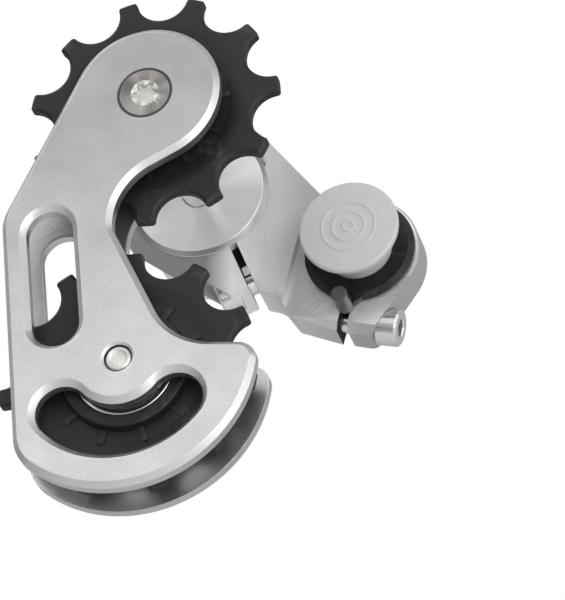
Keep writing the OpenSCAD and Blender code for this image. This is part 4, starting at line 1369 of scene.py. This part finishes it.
@dataclass
class HangerEnd:
    """Collar, stop pin, hanger bolt and the cap on its thread."""

    finishes: Finishes
    collar_r: float = 9.45
    flange_r: float = 10.4
    flange_thick: float = 1.3
    flange_chamfer: float = 0.95
    bore_r: float = 5.05
    counterbore: float = 1.3
    clip_seat_r: float = 7.6
    clip_seat_depth: float = 3.0
    pin_dist: float = 11.7
    pin_r: float = 1.5
    pin_proud: float = 4.4
    tongue_drop: float = 0.2
    tongue_turn: float = -40.0
    tongue_side: float = 6.2
    tongue_root: tuple[float, float] = (3.0, 0.0)
    tongue_tip: tuple[tuple[float, float], ...] = ((11.4, 1.55), (9.6, 3.15), (8.2, 4.7))
    tongue_rounds: tuple[float, ...] = (0.2, 0.2, 0.4, 0.4, 0.15, 0.2)
    cap_r: float = 9.26
    cap_back: float = -7.0
    cap_thick: float = 1.2
    cap_wall: float = 0.5
    cap_rings: tuple[float, ...] = (1.0, 3.0, 5.0)
    ring_foot: float = 0.25
    ring_top: float = 0.12
    ring_height: float = 0.15
    seat_r: float = 6.45

    def tongue_outline(self) -> Outline:
        """The tongue that carries the stop pin: straight sides with small rounded corners."""
        start = (self.flange_r - self.flange_chamfer) * heading(self.tongue_turn)
        heel = start + self.tongue_side * square_to(self.tongue_turn)
        corners = [Vector(self.tongue_root), start, heel, *(Vector(p) for p in self.tongue_tip)]
        arcs = []
        for k, (here, radius) in enumerate(zip(corners, self.tongue_rounds)):
            back = (corners[k - 1] - here).normalized()
            on = (corners[(k + 1) % len(corners)] - here).normalized()
            half = back.angle(on) / 2
            bulge = on.x * back.y - on.y * back.x > 0
            centre = here + (back + on).normalized() * radius / math.sin(half)
            first = bearing(here + back * radius / math.tan(half) - centre)
            turn = 180 - math.degrees(2 * half)
            if bulge:
                arcs.append(Arc(centre, radius, first, first + turn))
            else:
                arcs.append(Arc(centre, -radius, first + 180, first + 180 - turn))
        along, across = heading(HANGER_SLIT), square_to(HANGER_SLIT)
        return Outline(tuple(
            Arc(HANGER + a.centre.x * along + a.centre.y * across, a.radius,
                a.start + HANGER_SLIT, a.end + HANGER_SLIT) for a in arcs), 15.0)

    def build(self) -> None:
        """Makes the collar with its tongue, the pin, the bolt and the cap."""
        bore, deep, clip_r = self.bore_r, self.counterbore, self.clip_seat_r
        back, step = ARM_BACK, ARM_BACK - self.clip_seat_depth
        flange_r, collar_r, thick = self.flange_r, self.collar_r, self.flange_thick
        work = Workpiece()
        work.turn(HANGER, soften([
            (bore, step), (bore, deep), (self.seat_r, deep), (self.seat_r, 0.1),
            (self.seat_r + 0.1, 0.0), (flange_r - self.flange_chamfer, 0.0),
            (flange_r, self.flange_chamfer), (flange_r, thick), (collar_r, thick),
            (collar_r, back - 0.3), (collar_r - 0.3, back), (clip_r, back), (clip_r, step),
            (bore, step),
        ], 0.08, 2), steps=128)
        for ring in work.walls(self.tongue_outline(), soften([
            (self.tongue_drop, 0.4), (self.tongue_drop, 0.1), (self.tongue_drop + 0.1, 0.0),
            (thick, 0.0), (thick, 0.4),
        ], 0.04, 2)):
            work.fill(ring)
        work.finish("hanger_collar_ring", "hanger_mount",
                    [self.finishes.anodised], "hanger_collar")
        front, pin_r = -self.pin_proud, self.pin_r
        profile = soften([
            (0.0, front + 0.06), (pin_r - 0.4, front), (pin_r - 0.2, front),
            (pin_r, front + 0.25), (pin_r, thick), (0.0, thick),
        ], 0.1)
        turned_piece("stop_pin_rod", "hanger_mount", self.finishes.pin,
                     "stop_pin", HANGER + self.pin_dist * heading(HANGER_SLIT), profile, 48)
        dress(self.finishes.plated, "hanger_bolt", "hanger_bolt_washer", "hanger_bolt_circlip")
        self.cap()

    def cap(self) -> None:
        """Makes the milky thread cap with its moulded rings."""
        back, stem, end, wall = self.cap_back, self.seat_r - 0.05, 0.25, self.cap_wall
        front = back - self.cap_thick
        raised, foot, top = front - self.ring_height, self.ring_foot, self.ring_top
        rings = [(0.0, front)]
        for r in self.cap_rings:
            rings += [(r - foot, front), (r - top, raised), (r + top, raised), (r + foot, front)]
        profile = soften([
            *rings, (self.cap_r - 0.35, front), (self.cap_r, front + 0.3), (self.cap_r, back),
            (stem, back), (stem, end), (stem - wall, end), (stem - wall, back), (0.0, back),
        ], 0.12, 2)
        turned_piece("thread_cap_cover", "cap", self.finishes.cap,
                     "thread_cap", HANGER, profile, 128)


# --- Studio ------------------------------------------------------------------------------------


@dataclass(frozen=True)
class Softbox:
    """A square soft light that looks at the object from a distance in metres."""

    name: str
    way: tuple[float, float, float]
    distance: float
    size: float
    watts: float


@dataclass
class Studio:
    """Camera, lights, pale floor and backdrop."""

    target: tuple[float, float, float] = (-0.00875, -0.0234, -0.02198)
    azimuth: float = 13.69
    elevation: float = -28.43
    roll: float = -0.72
    distance: float = 0.700
    lens: float = 252.7
    floor_height: float = -0.48
    floor_half: float = 4.0
    lights: tuple[Softbox, ...] = (
        Softbox("face_light", (-0.21, -0.85, 0.48), 0.9, 1.1, 1.9),
        Softbox("key_light", (-0.6, -0.35, 0.9), 0.9, 0.5, 1.6),
        Softbox("side_light", (0.95, -0.35, 0.15), 0.9, 1.0, 2.2),
        Softbox("under_light", (-0.3, -0.4, -0.9), 0.8, 0.4, 0.35),
        Softbox("arm_light", (0.55, -0.8, -0.15), 0.9, 0.8, 4.4),
    )

    def camera(self) -> None:
        """Places the camera."""
        a, e, r = (math.radians(v) for v in (self.azimuth, self.elevation, self.roll))
        back = Vector((math.sin(a) * math.cos(e), -math.cos(a) * math.cos(e), math.sin(e)))
        right = Vector((math.cos(a), math.sin(a), 0))
        up = back.cross(right)
        side = math.cos(r) * right + math.sin(r) * up
        top = -math.sin(r) * right + math.cos(r) * up
        data = bpy.data.cameras.new("camera")
        data.lens = self.lens
        data.sensor_width = 36
        data.sensor_fit = "HORIZONTAL"
        data.clip_start = 0.01
        camera = scene_object("camera", data)
        place = Matrix.Translation(Vector(self.target) + back * self.distance)
        camera.matrix_world = place @ Matrix((side, top, back)).transposed().to_4x4()
        bpy.context.scene.camera = camera

    def hang(self, box: Softbox) -> None:
        """Hangs a softbox."""
        data = bpy.data.lights.new(box.name, "AREA")
        data.shape = "SQUARE"
        data.size = box.size
        data.energy = box.watts
        way = Vector(box.way)
        place = Matrix.Translation(Vector(self.target) + way.normalized() * box.distance)
        turn = way.to_track_quat("Z", "Y").to_matrix().to_4x4()
        scene_object(box.name, data).matrix_world = place @ turn

    def world(self) -> None:
        """A white backdrop for the camera, and a soft studio gradient for the object."""
        world = bpy.data.worlds.new("studio")
        bpy.context.scene.world = world
        world.use_nodes = True
        n = Nodes(world.node_tree)
        backdrop = n.add("Background", {"Color": (1, 1, 1, 1), "Strength": 1.0})
        way = n.add("SeparateXYZ", {0: n.add("TexCoord").outputs["Generated"]})
        height = n.ramp(way.outputs["Z"], -0.6, 0.7, 0.22, 0.9)
        glow = n.ramp(way.outputs["Y"], 0.1, 0.8, 0.0, 0.85)
        room = n.add("Background", {"Color": n.grey(n.math("MAXIMUM", height, glow)),
                                    "Strength": 0.62})
        seen = n.add("LightPath").outputs["Is Camera Ray"]
        mix = n.add("MixShader", {0: seen, 1: room.outputs[0], 2: backdrop.outputs[0]})
        n.feed(world.node_tree.nodes["World Output"], {"Surface": mix.outputs[0]})

    def floor(self) -> None:
        """Lays the pale floor."""
        mesh = bmesh.new()
        bmesh.ops.create_grid(mesh, x_segments=2, y_segments=2, size=self.floor_half,
                              matrix=Matrix.Translation((0, 0, self.floor_height)))
        piece = mesh_object("floor", mesh)
        material = bpy.data.materials.new("pale_floor")
        material.use_nodes = True
        n = Nodes(material.node_tree)
        n.feed(material.node_tree.nodes["Principled BSDF"],
               {"Base Color": (0.86, 0.86, 0.86, 1), "Roughness": 0.8})
        piece.data.materials.append(material)

    def build(self) -> None:
        """Sets the studio up."""
        self.camera()
        self.world()
        self.floor()
        for box in self.lights:
            self.hang(box)
        bpy.context.scene.view_settings.view_transform = "Standard"


def main() -> None:
    """Builds every sub-assembly in order, then the studio."""
    logging.basicConfig(level=logging.INFO, format="%(message)s")
    finishes = Finishes()
    Studio().build()
    Cage(finishes).build()
    Pulley(finishes, "guide", "guide_wheel", PIVOT, 12.5).build()
    Pulley(finishes, "tension", "tension_wheel", LOWER, -2.6).build()
    SpringUnit(finishes).build()
    Arm(finishes).build()
    HangerEnd(finishes).build()


if __name__ == "__main__":
    main()
